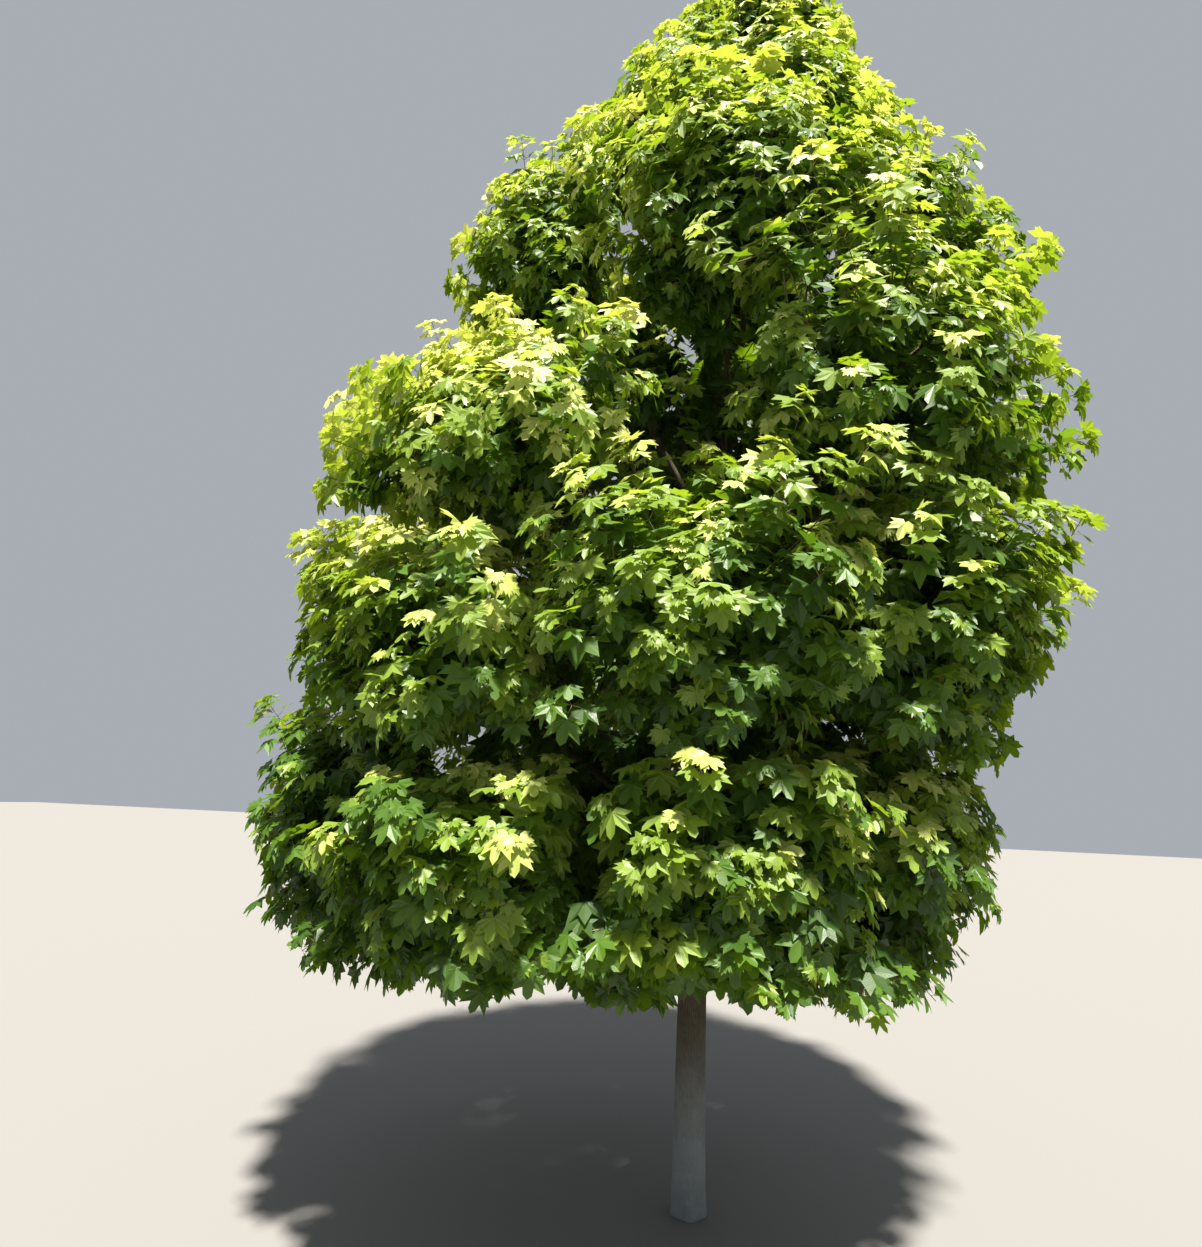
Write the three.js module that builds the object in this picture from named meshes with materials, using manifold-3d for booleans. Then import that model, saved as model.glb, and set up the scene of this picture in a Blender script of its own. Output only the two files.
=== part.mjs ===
// A young maple in full summer leaf: one trunk, the boughs that leave it, and the masses of foliage
// they carry. Millimetres, +Z up, the origin in the middle of the flat cut under the trunk.
// +X is the side that the leader leans to.

import * as THREE from "three";
import { mergeVertices } from "three/addons/utils/BufferGeometryUtils.js";
import Module from "manifold-3d";

const wasm = await Module();
wasm.setup();

const JOINT_GAP = 0.3;
const CLEARANCE = 6;
const MEND = 0.02;
const SAME_POINT = 0.001;
const GAP_SEARCH = 1;

// Leader: the trunk's axis leans more the higher it is, and stands upright inside the crown's tip
const TRUNK_TOP = 7950;
const LEAN = 620;
const LEAN_POWER = 2.4;

// Trunk: its girth, the flare of its roots, and the heights of its rings
const TRUNK_FOOT_RADIUS = 100;
const TRUNK_TIP_RADIUS = 15;
const TRUNK_TAPER = 1.04;
const FLARE = 14;
const FLARE_HEIGHT = 110;
const FLARE_LOBES = 5;
const FLARE_TURN = 0.7;
const FLARE_EVENNESS = 0.6;
const TRUNK_SIDES = 14;
const TRUNK_RINGS = [0, 35, 90, 180, 330, 600, 1000, 1500, 2100, 2900, 3800, 4700, 5600, 6400, 7200];

// Outline of the whole crown: height, radius round its own axis, shift of that axis along +X
const CROWN = [
  [1150, 1200, -420],
  [1450, 1920, -480],
  [2000, 2260, -500],
  [2800, 2340, -400],
  [3600, 2550, -180],
  [4500, 2540, -130],
  [5200, 2400, -80],
  [6000, 2080, 90],
  [7000, 1480, 165],
  [7800, 1060, 280],
  [8500, 800, 440],
  [9100, 550, 580],
  [9500, 300, 640],
  [9700, 60, 660],
];
const CROWN_TOP = 9700;

// The lowest leaves hang at this height, higher for each millimetre towards -Y, in waves
const FOLIAGE_FLOOR = 1230;
const FLOOR_RISE = 0.17;
const FLOOR_WAVE = 120;
const FLOOR_WAVELENGTH = 1250;

// Dents in that outline: two above the bough that stands out on the -X side, the deep groove between
// two boughs at the front, and the drawn-in foot of the crown. The last, a bulge, is that bough's.
const DENTS = [
  { height: 5220, spread: 480, bearing: -142, width: 26, depth: 0.26 },
  { height: 5000, spread: 750, bearing: -110, width: 20, depth: 0.24 },
  { height: 4150, spread: 600, bearing: -86, width: 8, depth: 0.42 },
  { height: 1800, spread: 800, bearing: -76, width: 45, depth: 0.1 },
  { height: 4450, spread: 420, bearing: -142, width: 28, depth: -0.07 },
];

// Tiers of foliage. Each place is one mass: its bearing in degrees from +X towards +Y, and how far
// its centre is above the tier's height. depth is how far a centre lies inside the crown's outline,
// size a mass's half extent outwards, round the ring and upwards. The boughs leave the trunk at
// fork and over the climb above it, with the given girth.
const TIERS = [
  { name: "skirt", height: 2080, depth: 780, size: [950, 1450, 1340], fork: 1330, climb: 420, girth: 25,
    places: [[-156, 120], [-112, -120], [-66, -60], [-18, 140], [48, 260], [116, 380]] },
  { name: "lower", height: 3300, depth: 850, size: [1030, 1330, 1240], fork: 1830, climb: 620, girth: 30,
    places: [[-170, 150], [-126, -150], [-82, 0], [-38, 120], [14, 240], [72, 400], [130, 320]] },
  { name: "middle", height: 4600, depth: 860, size: [1060, 1500, 1270], fork: 2600, climb: 800, girth: 31,
    places: [[-124, -260], [-50, 60], [22, 240], [94, 420], [166, 300]] },
  { name: "upper", height: 5960, depth: 830, size: [1020, 1370, 1290], fork: 3900, climb: 800, girth: 26,
    places: [[-158, 150], [-85, -80], [-22, 80], [66, 360], [142, 280]] },
  { name: "high", height: 7300, depth: 730, size: [920, 1180, 1330], fork: 5250, climb: 700, girth: 19,
    places: [[-150, 160], [-28, 0], [86, 260]] },
];
const TIP = { height: 8600, size: [1320, 1080, 1080] };
const GOLDEN_RATIO = 0.618034;

// A mass's space ends short of its neighbours and of the trunk
const NEIGHBOUR_MARGIN = 0.02;
const TRUNK_MARGIN = 40;
const REACH_STEP = 20;
const REACH_START = 60;

// Core of a mass: its share of the reach towards its neighbours, outwards, where the leaves stand
// out of it, and towards the trunk, where the crown is hollow; and soft bumps on it
const CORE_SIDE_SHARE = 0.84;
const CORE_OUTER_SHARE = 0.6;
const CORE_INNER_SHARE = 0.35;
const CORE_BUMP = 0.05;
const CORE_WAVES = 5;
const CORE_DETAIL = 1;

// Leaves: each stands for one spray, on its own twig, and hangs over the one below it like a shingle
const LEAVES = 14;
const LEAF_SPREAD = 1.15;
const LEAF_LENGTH = 650;
const LEAF_VARIETY = 0.25;
const LEAF_WIDTH = 0.86;
const LEAF_THICKNESS = 0.05;
const LEAF_HEEL = 0.3;
const LEAF_MIDDLE = 0.42;
const LEAF_FOLD = 0.14;
const LEAF_ROLL = 0.7;
const LEAF_LIE = 0.85;
const FACE_UP = 0.6;
const FACE_OUT = 0.3;
const FALL_OUT = 0.5;
const FALL_DOWN = 0.45;
const LEAF_STRAY = 1.06;
const TWIG_RADIUS = 10;
const TWIG_TIP_RADIUS = 6;
const TWIG_ROOT = 0.6;
const GOLDEN_ANGLE = Math.PI * (3 - Math.sqrt(5));

// Tries for one leaf: its size as a share of its full length, and how many of its lengths inside
// the mass's space its twig ends
const LEAF_TRIES = [[1, 0.3], [1, 0.55], [0.7, 0.3], [0.7, 0.6]];

// Boughs and the stems that carry on from them into their masses
const LIMB_SIDES = 5;
const LIMB_FIRST_SIDE = [0.31, 0.95, 0.02];
const BOUGH_STEPS = 5;
const BOUGH_ROOT_SHARE = 1.12;
const BOUGH_TIP_SHARE = 0.52;
const BOUGH_TAPER = 0.8;
const BOUGH_AIM = 0.55;
const BOUGH_BEND = 0.45;
const ENTRY_GAP = 55;
const STEM_LEAD = 90;
const STEM_SHARES = [1, 0.9, 0.5];

const UP = new THREE.Vector3(0, 0, 1);
const vector = (x, y, z) => new THREE.Vector3(x, y, z);
const along = (from, direction, length) => from.clone().addScaledVector(direction, length);

// Seeded number from 0 to 1 for a counter and a channel
function chance(counter, channel) {
  const wave = Math.sin(counter * 12.9898 + channel * 78.233) * 43758.5453;
  return wave - Math.floor(wave);
}

// Smooth value of one column of the crown's outline at a height
function crownValue(height, column) {
  const last = CROWN.length - 1;
  const slope = (i) => {
    const before = CROWN[Math.max(i - 1, 0)];
    const after = CROWN[Math.min(i + 1, last)];
    return (after[column] - before[column]) / (after[0] - before[0]);
  };
  let i = 0;
  while (i < last - 1 && CROWN[i + 1][0] < height) i += 1;
  const step = CROWN[i + 1][0] - CROWN[i][0];
  const t = THREE.MathUtils.clamp((height - CROWN[i][0]) / step, 0, 1);
  const rise = t * t * (3 - 2 * t);
  return CROWN[i][column] * (1 - rise) + CROWN[i + 1][column] * rise
    + step * t * (1 - t) * ((1 - t) * slope(i) - t * slope(i + 1));
}

const crownRadius = (height) => crownValue(height, 1);
const crownAxis = (height) => vector(crownValue(height, 2), 0, height);

// Radius of the crown's outline at a point's height and bearing
function crownEdge(point) {
  const offset = point.clone().sub(crownAxis(point.z));
  const bearing = Math.atan2(offset.y, offset.x);
  return DENTS.reduce((radius, dent) => {
    const turn = bearing - THREE.MathUtils.degToRad(dent.bearing);
    const aside = Math.atan2(Math.sin(turn), Math.cos(turn)) / THREE.MathUtils.degToRad(dent.width);
    const rise = (point.z - dent.height) / dent.spread;
    return radius * (1 - dent.depth * Math.exp(-rise * rise - aside * aside));
  }, crownRadius(point.z));
}

// Height of the lowest leaves at a place
function floorAt(point) {
  const wave = Math.sin((2 * Math.PI * point.x) / FLOOR_WAVELENGTH)
    * Math.cos((2 * Math.PI * point.y) / FLOOR_WAVELENGTH);
  return FOLIAGE_FLOOR + FLOOR_RISE * Math.max(0, -point.y) + FLOOR_WAVE * wave;
}

function leaderAt(height) {
  const share = THREE.MathUtils.clamp(height / TRUNK_TOP, 0, 1);
  return vector(LEAN * Math.pow(share, LEAN_POWER), 0, height);
}

function trunkRadius(height) {
  const share = THREE.MathUtils.clamp(height / TRUNK_TOP, 0, 1);
  return THREE.MathUtils.lerp(TRUNK_FOOT_RADIUS, TRUNK_TIP_RADIUS, Math.pow(share, TRUNK_TAPER));
}

// Solid from corner points and triangles
function solidFrom(points, triangles) {
  const vertProperties = new Float32Array(points.flatMap((point) => point.toArray()));
  const triVerts = new Uint32Array(triangles.flat());
  return new wasm.Manifold(new wasm.Mesh({ numProp: 3, vertProperties, triVerts }));
}

// Closed body through rings of equal corner counts, with flat ends
function loft(rings) {
  const sides = rings[0].length;
  const triangles = [];
  for (let r = 0; r + 1 < rings.length; r += 1) {
    for (let k = 0; k < sides; k += 1) {
      const a = r * sides + k;
      const b = r * sides + ((k + 1) % sides);
      triangles.push([a, b, b + sides], [a, b + sides, a + sides]);
    }
  }
  const top = (rings.length - 1) * sides;
  for (let k = 1; k + 1 < sides; k += 1) {
    triangles.push([0, k + 1, k], [top, top + k, top + k + 1]);
  }
  return solidFrom(rings.flat(), triangles);
}

// Heading of a path at one of its points; at an end it is that of the last stretch
function headingAt(path, i) {
  const last = path.length - 1;
  return path[Math.min(i + 1, last)].clone().sub(path[Math.max(i - 1, 0)]).normalize();
}

// Corners of a regular ring across a heading
function ringAcross(centre, side, heading, radius, sides) {
  const other = heading.clone().cross(side);
  return Array.from({ length: sides }, (_, k) => {
    const angle = (2 * Math.PI * k) / sides;
    return along(along(centre, side, radius * Math.cos(angle)), other, radius * Math.sin(angle));
  });
}

// Tapering limb along a path, with a radius at each of its points
function limb(path, radii) {
  const side = vector(...LIMB_FIRST_SIDE);
  const rings = path.map((point, i) => {
    const heading = headingAt(path, i);
    side.addScaledVector(heading, -side.dot(heading)).normalize();
    return ringAcross(point, side, heading, radii[i], LIMB_SIDES);
  });
  return loft(rings);
}

// Trunk: level rings up the leader, the lowest ones spread into roots; sleeve grows it all round
function trunkBody(sleeve) {
  const rings = [...TRUNK_RINGS, TRUNK_TOP].map((height) => {
    const spread = FLARE * Math.exp(-height / FLARE_HEIGHT);
    return Array.from({ length: TRUNK_SIDES }, (_, k) => {
      const angle = (2 * Math.PI * k) / TRUNK_SIDES;
      const lobe = FLARE_EVENNESS + (1 - FLARE_EVENNESS) * Math.cos(FLARE_LOBES * angle + FLARE_TURN);
      const outward = vector(Math.cos(angle), Math.sin(angle), 0);
      return along(leaderAt(height), outward, trunkRadius(height) + spread * lobe + sleeve);
    });
  });
  return loft(rings);
}

// Masses: centre, own axes and half extents, worked out from the tiers and the crown's outline
function layOutMasses() {
  const laidOut = [];
  for (const tier of TIERS) {
    tier.places.forEach(([bearing, rise], i) => {
      const angle = THREE.MathUtils.degToRad(bearing);
      const outward = vector(Math.cos(angle), Math.sin(angle), 0);
      const height = tier.height + rise;
      laidOut.push({
        name: `${tier.name}_${i + 1}`,
        centre: along(crownAxis(height), outward, crownRadius(height) - tier.depth),
        axes: [outward, UP.clone().cross(outward), UP],
        size: tier.size,
        girth: tier.girth,
        fork: tier.fork + tier.climb * (((i + 0.5) * GOLDEN_RATIO) % 1),
      });
    });
  }
  const sideways = vector(0, 1, 0);
  const tipAxes = [UP, sideways, UP.clone().cross(sideways)];
  laidOut.push({ name: "tip", centre: crownAxis(TIP.height), axes: tipAxes, size: TIP.size });
  return laidOut.map((mass, number) => ({ ...mass, number }));
}

const masses = layOutMasses();

// Distance from a mass's centre, as a share of its ellipsoid
function share(mass, point) {
  const offset = point.clone().sub(mass.centre);
  return Math.hypot(...mass.axes.map((axis, k) => offset.dot(axis) / mass.size[k]));
}

// A mass's own space, grown by a factor at the crown's outline: inside its ellipsoid and the crown,
// nearer to it than to any other mass, and clear of the trunk
function inSpace(mass, point, grow) {
  const own = share(mass, point);
  if (own > grow || point.z < floorAt(point) || point.z > CROWN_TOP) return false;
  if (point.distanceTo(crownAxis(point.z)) > crownEdge(point) * grow) return false;
  const nearTrunk = point.distanceTo(leaderAt(point.z)) < trunkRadius(point.z) + TRUNK_MARGIN;
  if (nearTrunk && point.z < TRUNK_TOP) return false;
  return masses.every((other) => other === mass || own + NEIGHBOUR_MARGIN < share(other, point));
}

// How far the space reaches from the mass's centre in a direction
function reachOf(mass, direction) {
  let reach = REACH_START;
  while (inSpace(mass, along(mass.centre, direction, reach + REACH_STEP), 1)) reach += REACH_STEP;
  return reach;
}

function coreRadius(mass, direction) {
  const [outward, round, up] = mass.axes.map((axis) => axis.dot(direction));
  const bumps = Math.sin(CORE_WAVES * outward + mass.number) * Math.sin(CORE_WAVES * round - mass.number)
    + Math.sin(CORE_WAVES * up);
  const towards = outward > 0 ? CORE_OUTER_SHARE : CORE_INNER_SHARE;
  const part = THREE.MathUtils.lerp(CORE_SIDE_SHARE, towards, Math.abs(outward));
  return reachOf(mass, direction) * part * (1 + CORE_BUMP * bumps);
}

// Faceted core of a mass
function coreBody(mass) {
  const geometry = new THREE.IcosahedronGeometry(1, CORE_DETAIL);
  geometry.deleteAttribute("normal");
  geometry.deleteAttribute("uv");
  const merged = mergeVertices(geometry, SAME_POINT);
  const corner = vector();
  const points = Array.from({ length: merged.attributes.position.count }, (_, i) => {
    corner.fromBufferAttribute(merged.attributes.position, i).normalize();
    return along(mass.centre, corner, coreRadius(mass, corner));
  });
  return solidFrom(points, [Array.from(merged.index.array)]);
}

// Bough's path: from the trunk's axis, up and outwards, to where it enters its mass
function boughPath(mass) {
  const root = leaderAt(mass.fork);
  const inward = root.clone().lerp(mass.centre, BOUGH_AIM).sub(mass.centre).normalize();
  const tip = along(mass.centre, inward, coreRadius(mass, inward) + ENTRY_GAP);
  const bend = along(tip, inward, tip.distanceTo(root) * BOUGH_BEND);
  return new THREE.QuadraticBezierCurve3(root, bend, tip).getPoints(BOUGH_STEPS);
}

function boughBody(mass, sleeve) {
  const radii = mass.path.map((_, i) => {
    const part = Math.pow(i / BOUGH_STEPS, BOUGH_TAPER);
    return mass.girth * THREE.MathUtils.lerp(BOUGH_ROOT_SHARE, BOUGH_TIP_SHARE, part) + sleeve;
  });
  return limb(mass.path, radii);
}

// Direction of one leaf's twig: golden-angle steps over the side of the mass that faces outwards
function twigDirection(mass, i) {
  const outward = 1 - (LEAF_SPREAD * (i + 0.5)) / LEAVES;
  const ring = Math.sqrt(1 - outward * outward);
  const angle = i * GOLDEN_ANGLE + mass.number;
  return vector(0, 0, 0)
    .addScaledVector(mass.axes[0], outward)
    .addScaledVector(mass.axes[1], ring * Math.cos(angle))
    .addScaledVector(mass.axes[2], ring * Math.sin(angle));
}

// The way a leaf lies: its face looks out and up, its tip points out and down
function leafAxes(mass, direction, count) {
  const fromTrunk = mass.centre.clone().sub(leaderAt(mass.centre.z)).setZ(0).normalize();
  const face = direction.clone().addScaledVector(UP, FACE_UP).addScaledVector(fromTrunk, FACE_OUT);
  face.normalize();
  const fall = direction.clone().setZ(0).addScaledVector(fromTrunk, FALL_OUT);
  fall.addScaledVector(UP, -FALL_DOWN);
  const axis = fall.addScaledVector(face, -LEAF_LIE * fall.dot(face)).normalize();
  const across = face.clone().cross(axis).normalize();
  return [axis, across.applyAxisAngle(axis, (chance(count, 2) - 0.5) * LEAF_ROLL)];
}

// Corners of a leaf spray on its twig. The blade is a kite that folds down on both sides of its
// ridge and droops to its tip; the three-sided twig comes up into its underside.
function leafCorners(root, neck, axis, across, length) {
  const normal = axis.clone().cross(across).normalize();
  const heel = along(neck, axis, -LEAF_HEEL * length);
  const middle = along(heel, axis, LEAF_MIDDLE * length);
  const lowered = (point) => along(point, normal, -LEAF_FOLD * length);
  const stalk = neck.clone().sub(root).normalize();
  const side = across.clone().addScaledVector(stalk, -across.dot(stalk)).normalize();
  return {
    heel,
    right: lowered(along(middle, across, (-LEAF_WIDTH * length) / 2)),
    tip: lowered(along(heel, axis, length)),
    left: lowered(along(middle, across, (LEAF_WIDTH * length) / 2)),
    ridge: along(middle, normal, LEAF_THICKNESS * length),
    throat: ringAcross(neck, side, stalk, TWIG_TIP_RADIUS, 3),
    base: ringAcross(root, side, stalk, TWIG_RADIUS, 3),
  };
}

// Leaf and twig as one closed body: four faces over the blade, seven under it, six round the twig
function leafBody({ heel, right, tip, left, ridge, throat, base }) {
  const over = [[0, 1, 4], [1, 2, 4], [2, 3, 4], [3, 0, 4]];
  const under = [[0, 3, 5], [0, 5, 6], [1, 0, 6], [1, 6, 7], [2, 1, 7], [3, 2, 7], [3, 7, 5]];
  const twig = [[8, 9, 6], [8, 6, 5], [9, 10, 7], [9, 7, 6], [10, 8, 5], [10, 5, 7], [8, 10, 9]];
  return solidFrom([heel, right, tip, left, ridge, ...throat, ...base], [...over, ...under, ...twig]);
}

// Leaves of one mass. One that would leave the mass's space or meet a limb is tried smaller, then skipped.
function growLeaves(mass, limbs) {
  const grown = [];
  for (let i = 0; i < LEAVES; i += 1) {
    const count = mass.number * LEAVES + i;
    const direction = twigDirection(mass, i);
    const reach = reachOf(mass, direction);
    const root = along(mass.centre, direction, coreRadius(mass, direction) * TWIG_ROOT);
    const [axis, across] = leafAxes(mass, direction, count);
    const full = LEAF_LENGTH * (1 + LEAF_VARIETY * (chance(count, 1) - 0.5));
    for (const [size, inset] of LEAF_TRIES) {
      const length = full * size;
      const neck = along(mass.centre, direction, reach - inset * length);
      const corners = leafCorners(root, neck, axis, across, length);
      const ends = [corners.right, corners.tip, corners.left];
      const inside = ends.every((point) => inSpace(mass, point, LEAF_STRAY));
      const body = leafBody(corners);
      const clear = [...grown, ...limbs].every((other) => body.minGap(other, GAP_SEARCH) > 0);
      if (inside && clear) {
        grown.push(body);
        break;
      }
    }
  }
  return grown;
}

// The largest piece of a solid, without the scraps that a cut leaves
function mainPiece(solid) {
  return solid.decompose().sort((a, b) => b.volume() - a.volume())[0];
}

// One mass as one body: its core, cut clear of the limbs, its stem and its leaves. Edges shorter
// than the mend are closed up.
function massBody(mass, limbs) {
  const core = limbs.reduce((kept, other) => kept.subtract(other), coreBody(mass));
  const start = along(mass.entry, mass.heading, JOINT_GAP);
  const inside = along(mass.entry, mass.heading, STEM_LEAD);
  const stem = limb([start, inside, mass.centre], STEM_SHARES.map((part) => part * mass.stemRadius));
  return mainPiece(wasm.Manifold.union([mainPiece(core), stem, ...growLeaves(mass, limbs)]).simplify(MEND));
}

// Named mesh of a finished solid
function meshOf(name, solid, material) {
  const { vertProperties, triVerts } = solid.getMesh();
  const geometry = new THREE.BufferGeometry();
  geometry.setAttribute("position", new THREE.BufferAttribute(vertProperties, 3));
  geometry.setIndex(new THREE.BufferAttribute(triVerts, 1));
  const mesh = new THREE.Mesh(geometry, material);
  mesh.name = name;
  return mesh;
}

function furrowedBark() {
  return new THREE.MeshStandardMaterial({ name: "bark", color: 0x7a6f66, roughness: 0.92, metalness: 0 });
}

function summerLeaf() {
  return new THREE.MeshStandardMaterial({ name: "leaf", color: 0x5f8a2c, roughness: 0.6, metalness: 0 });
}

// Where each mass's stem starts: at its bough's tip, or on top of the trunk
for (const mass of masses) {
  mass.path = mass.fork ? boughPath(mass) : [leaderAt(TRUNK_TOP - STEM_LEAD), leaderAt(TRUNK_TOP)];
  mass.entry = mass.path.at(-1);
  mass.heading = mass.fork ? headingAt(mass.path, BOUGH_STEPS) : UP;
  mass.stemRadius = mass.fork ? mass.girth * BOUGH_TIP_SHARE : TRUNK_TIP_RADIUS;
}

const bark = furrowedBark();
const leaf = summerLeaf();
const boughMasses = masses.filter((mass) => mass.fork);
const limbs = [trunkBody(CLEARANCE), ...boughMasses.map((mass) => boughBody(mass, CLEARANCE))];
const trunkSocket = trunkBody(JOINT_GAP);

const tree = new THREE.Group();
tree.add(meshOf("trunk", trunkBody(0), bark));
for (const mass of boughMasses) {
  tree.add(meshOf(`bough_${mass.name}`, boughBody(mass, 0).subtract(trunkSocket), bark));
}
for (const mass of masses) tree.add(meshOf(`foliage_${mass.name}`, massBody(mass, limbs), leaf));

export default tree;
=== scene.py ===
# %% [markdown]
# # A young maple in full summer leaf
#
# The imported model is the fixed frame: a trunk, 26 boughs and 27 masses of foliage, each a plain solid of
# the right size in the right place. This lesson grows the real surface on that frame: bark with its
# furrows, twigs, and some seventy thousand lobed leaves. Everything is in metres, +Z is up, and the origin
# is in the middle of the flat cut under the trunk.

import bpy
import numpy as np
from mathutils import Matrix


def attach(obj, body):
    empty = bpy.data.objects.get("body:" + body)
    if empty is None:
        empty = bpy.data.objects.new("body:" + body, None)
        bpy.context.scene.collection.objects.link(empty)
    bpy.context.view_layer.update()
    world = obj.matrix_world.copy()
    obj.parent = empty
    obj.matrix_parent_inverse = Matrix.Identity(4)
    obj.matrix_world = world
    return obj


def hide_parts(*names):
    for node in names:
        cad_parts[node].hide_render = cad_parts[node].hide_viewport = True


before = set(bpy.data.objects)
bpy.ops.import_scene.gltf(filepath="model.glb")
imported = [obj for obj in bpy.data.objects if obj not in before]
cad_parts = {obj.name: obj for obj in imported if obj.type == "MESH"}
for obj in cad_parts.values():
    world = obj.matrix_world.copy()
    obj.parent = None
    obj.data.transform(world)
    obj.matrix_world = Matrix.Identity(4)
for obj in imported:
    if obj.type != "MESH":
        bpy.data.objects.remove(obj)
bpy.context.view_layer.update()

# %% [markdown]
# ## Numbers that look random but never change
#
# A plant needs thousands of small differences. They could come from a random generator, but then each
# new draw would shift all later ones. A very steep sine wave of a counter gives numbers from 0 to 1
# that depend on nothing else, and the solids of the frame were grown with the same rule.

# %% Small helpers for numbers and directions
UP = np.array([0.0, 0.0, 1.0])
GOLDEN_RATIO = 0.618034
GOLDEN_ANGLE = np.pi * (3 - np.sqrt(5))
COUNTER_STEP = 12.9898
CHANNEL_STEP = 78.233
STEEPNESS = 43758.5453


def chance(counter, channel):
    """Seeded number from 0 to 1: what is left after the point of a very steep sine of the counter. The
    channel is a label that keeps two draws of one counter apart."""
    wave = np.sin(np.asarray(counter) * COUNTER_STEP + channel * CHANNEL_STEP) * STEEPNESS
    return wave - np.floor(wave)


def between(low, high, counter, channel):
    """Seeded number from low to high."""
    return low + (high - low) * chance(counter, channel)


def unit(vectors):
    """Each vector divided by its own length."""
    return vectors / np.linalg.norm(vectors, axis=-1, keepdims=True)


def dot(a, b):
    """Sum of the products of the last axis, which stays, so that it scales a vector."""
    return np.sum(a * b, axis=-1, keepdims=True)


def shaken(counter, channel, strength):
    """Seeded vectors, each coordinate from minus the strength to plus the strength."""
    return strength * (2 * np.stack([chance(counter, channel + k) for k in range(3)], axis=-1) - 1)


def level_way(turn):
    """Level vectors of length one at a turn from +X: its cosine, its sine and nought."""
    return np.stack([np.cos(turn), np.sin(turn), np.zeros_like(turn)], axis=-1)


print("first draws:", np.round(chance(np.arange(5), 0), 3))

# %% [markdown]
# ## The camera
#
# The photograph was taken from 2.35 m above the ground, about five metres from the trunk, with a wide
# lens tilted up. A focal length of 760 pixels in a picture 1247 pixels tall is a 21.9 mm lens on a 36 mm
# sensor. The camera stands in the same place, so that the trunk's foot, the crown's left and right edges
# and its cut-off top fall where they do in the photograph.

# %% Camera
PICTURE_HEIGHT = 1247
FOCAL_PIXELS = 760
SENSOR = 36.0
CAMERA_PLACE = (0.0, -5.2, 2.35)
CAMERA_PITCH = np.radians(13.1)
CAMERA_YAW = np.radians(-7.35)
CAMERA_ROLL = np.radians(2.5)


def in_scene(name, data):
    """New object with its data, linked to the scene."""
    item = bpy.data.objects.new(name, data)
    bpy.context.scene.collection.objects.link(item)
    return item


forward = np.array([np.sin(CAMERA_YAW) * np.cos(CAMERA_PITCH),
                    np.cos(CAMERA_YAW) * np.cos(CAMERA_PITCH),
                    np.sin(CAMERA_PITCH)])
level = np.array([np.cos(CAMERA_YAW), -np.sin(CAMERA_YAW), 0.0])
upright = np.cross(level, forward)
right = level * np.cos(CAMERA_ROLL) + upright * np.sin(CAMERA_ROLL)
top = upright * np.cos(CAMERA_ROLL) - level * np.sin(CAMERA_ROLL)

camera_data = bpy.data.cameras.new("camera")
camera_data.sensor_width = SENSOR
camera_data.lens = SENSOR * FOCAL_PIXELS / PICTURE_HEIGHT
camera_data.clip_end = 500
camera = in_scene("camera", camera_data)
camera.matrix_world = Matrix.Translation(CAMERA_PLACE) @ Matrix(np.stack([right, top, -forward], 1)).to_4x4()
bpy.context.scene.camera = camera
print("camera: lens", round(camera_data.lens, 2), "mm")

# %% [markdown]
# ## The leader and the outline of the crown
#
# A maple like this keeps one leader, the trunk that runs up through the crown. Its axis leans more the
# higher it is, and its radius shrinks almost evenly. The crown's outline is a list of heights with a
# radius and a sideways shift, joined by a smooth curve, so that every height has a value. No real crown
# is round, so a few smooth dents press it in: a groove up the front, a step over the low, wide bough at
# the left and a drawn-in foot. A dent of negative depth is a bulge.

# %% Leader and crown, in metres
TRUNK_TOP = 7.95
LEAN = 0.62
LEAN_POWER = 2.4
TRUNK_FOOT_RADIUS = 0.100
TRUNK_TIP_RADIUS = 0.015
TRUNK_TAPER = 1.04
# Rows of the crown's outline: height, radius, shift along +X.
CROWN = np.array([
    [1.15, 1.20, -0.42],
    [1.45, 1.92, -0.48],
    [2.00, 2.26, -0.50],
    [2.80, 2.34, -0.40],
    [3.60, 2.55, -0.18],
    [4.50, 2.54, -0.13],
    [5.20, 2.40, -0.08],
    [6.00, 2.08, 0.09],
    [7.00, 1.48, 0.165],
    [7.80, 1.06, 0.28],
    [8.50, 0.80, 0.44],
    [9.10, 0.55, 0.58],
    [9.50, 0.30, 0.64],
    [9.70, 0.06, 0.66],
])
CROWN_TOP = 9.70
FOLIAGE_FLOOR = 1.23
FLOOR_RISE = 0.17
FLOOR_WAVE = 0.12
FLOOR_WAVELENGTH = 1.25
# Bearings and widths are in degrees from +X, depths are shares of the radius.
DENTS = [
    dict(height=5.22, spread=0.48, bearing=-142, width=26, depth=0.26),
    dict(height=5.00, spread=0.75, bearing=-110, width=20, depth=0.24),
    dict(height=4.15, spread=0.60, bearing=-86, width=8, depth=0.42),
    dict(height=1.80, spread=0.80, bearing=-76, width=45, depth=0.10),
    dict(height=4.45, spread=0.42, bearing=-142, width=28, depth=-0.07),
]


def leader_at(height):
    """Point of the trunk's axis: shifted along +X by the lean times a power of the share of the height."""
    share = np.clip(np.asarray(height, float) / TRUNK_TOP, 0, 1)
    return np.stack([LEAN * share ** LEAN_POWER, np.zeros_like(share), np.asarray(height, float)], axis=-1)


def trunk_radius(height):
    """Foot radius blended into the tip radius by a power of the share of the height."""
    share = np.clip(np.asarray(height, float) / TRUNK_TOP, 0, 1) ** TRUNK_TAPER
    return TRUNK_FOOT_RADIUS + (TRUNK_TIP_RADIUS - TRUNK_FOOT_RADIUS) * share


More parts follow.
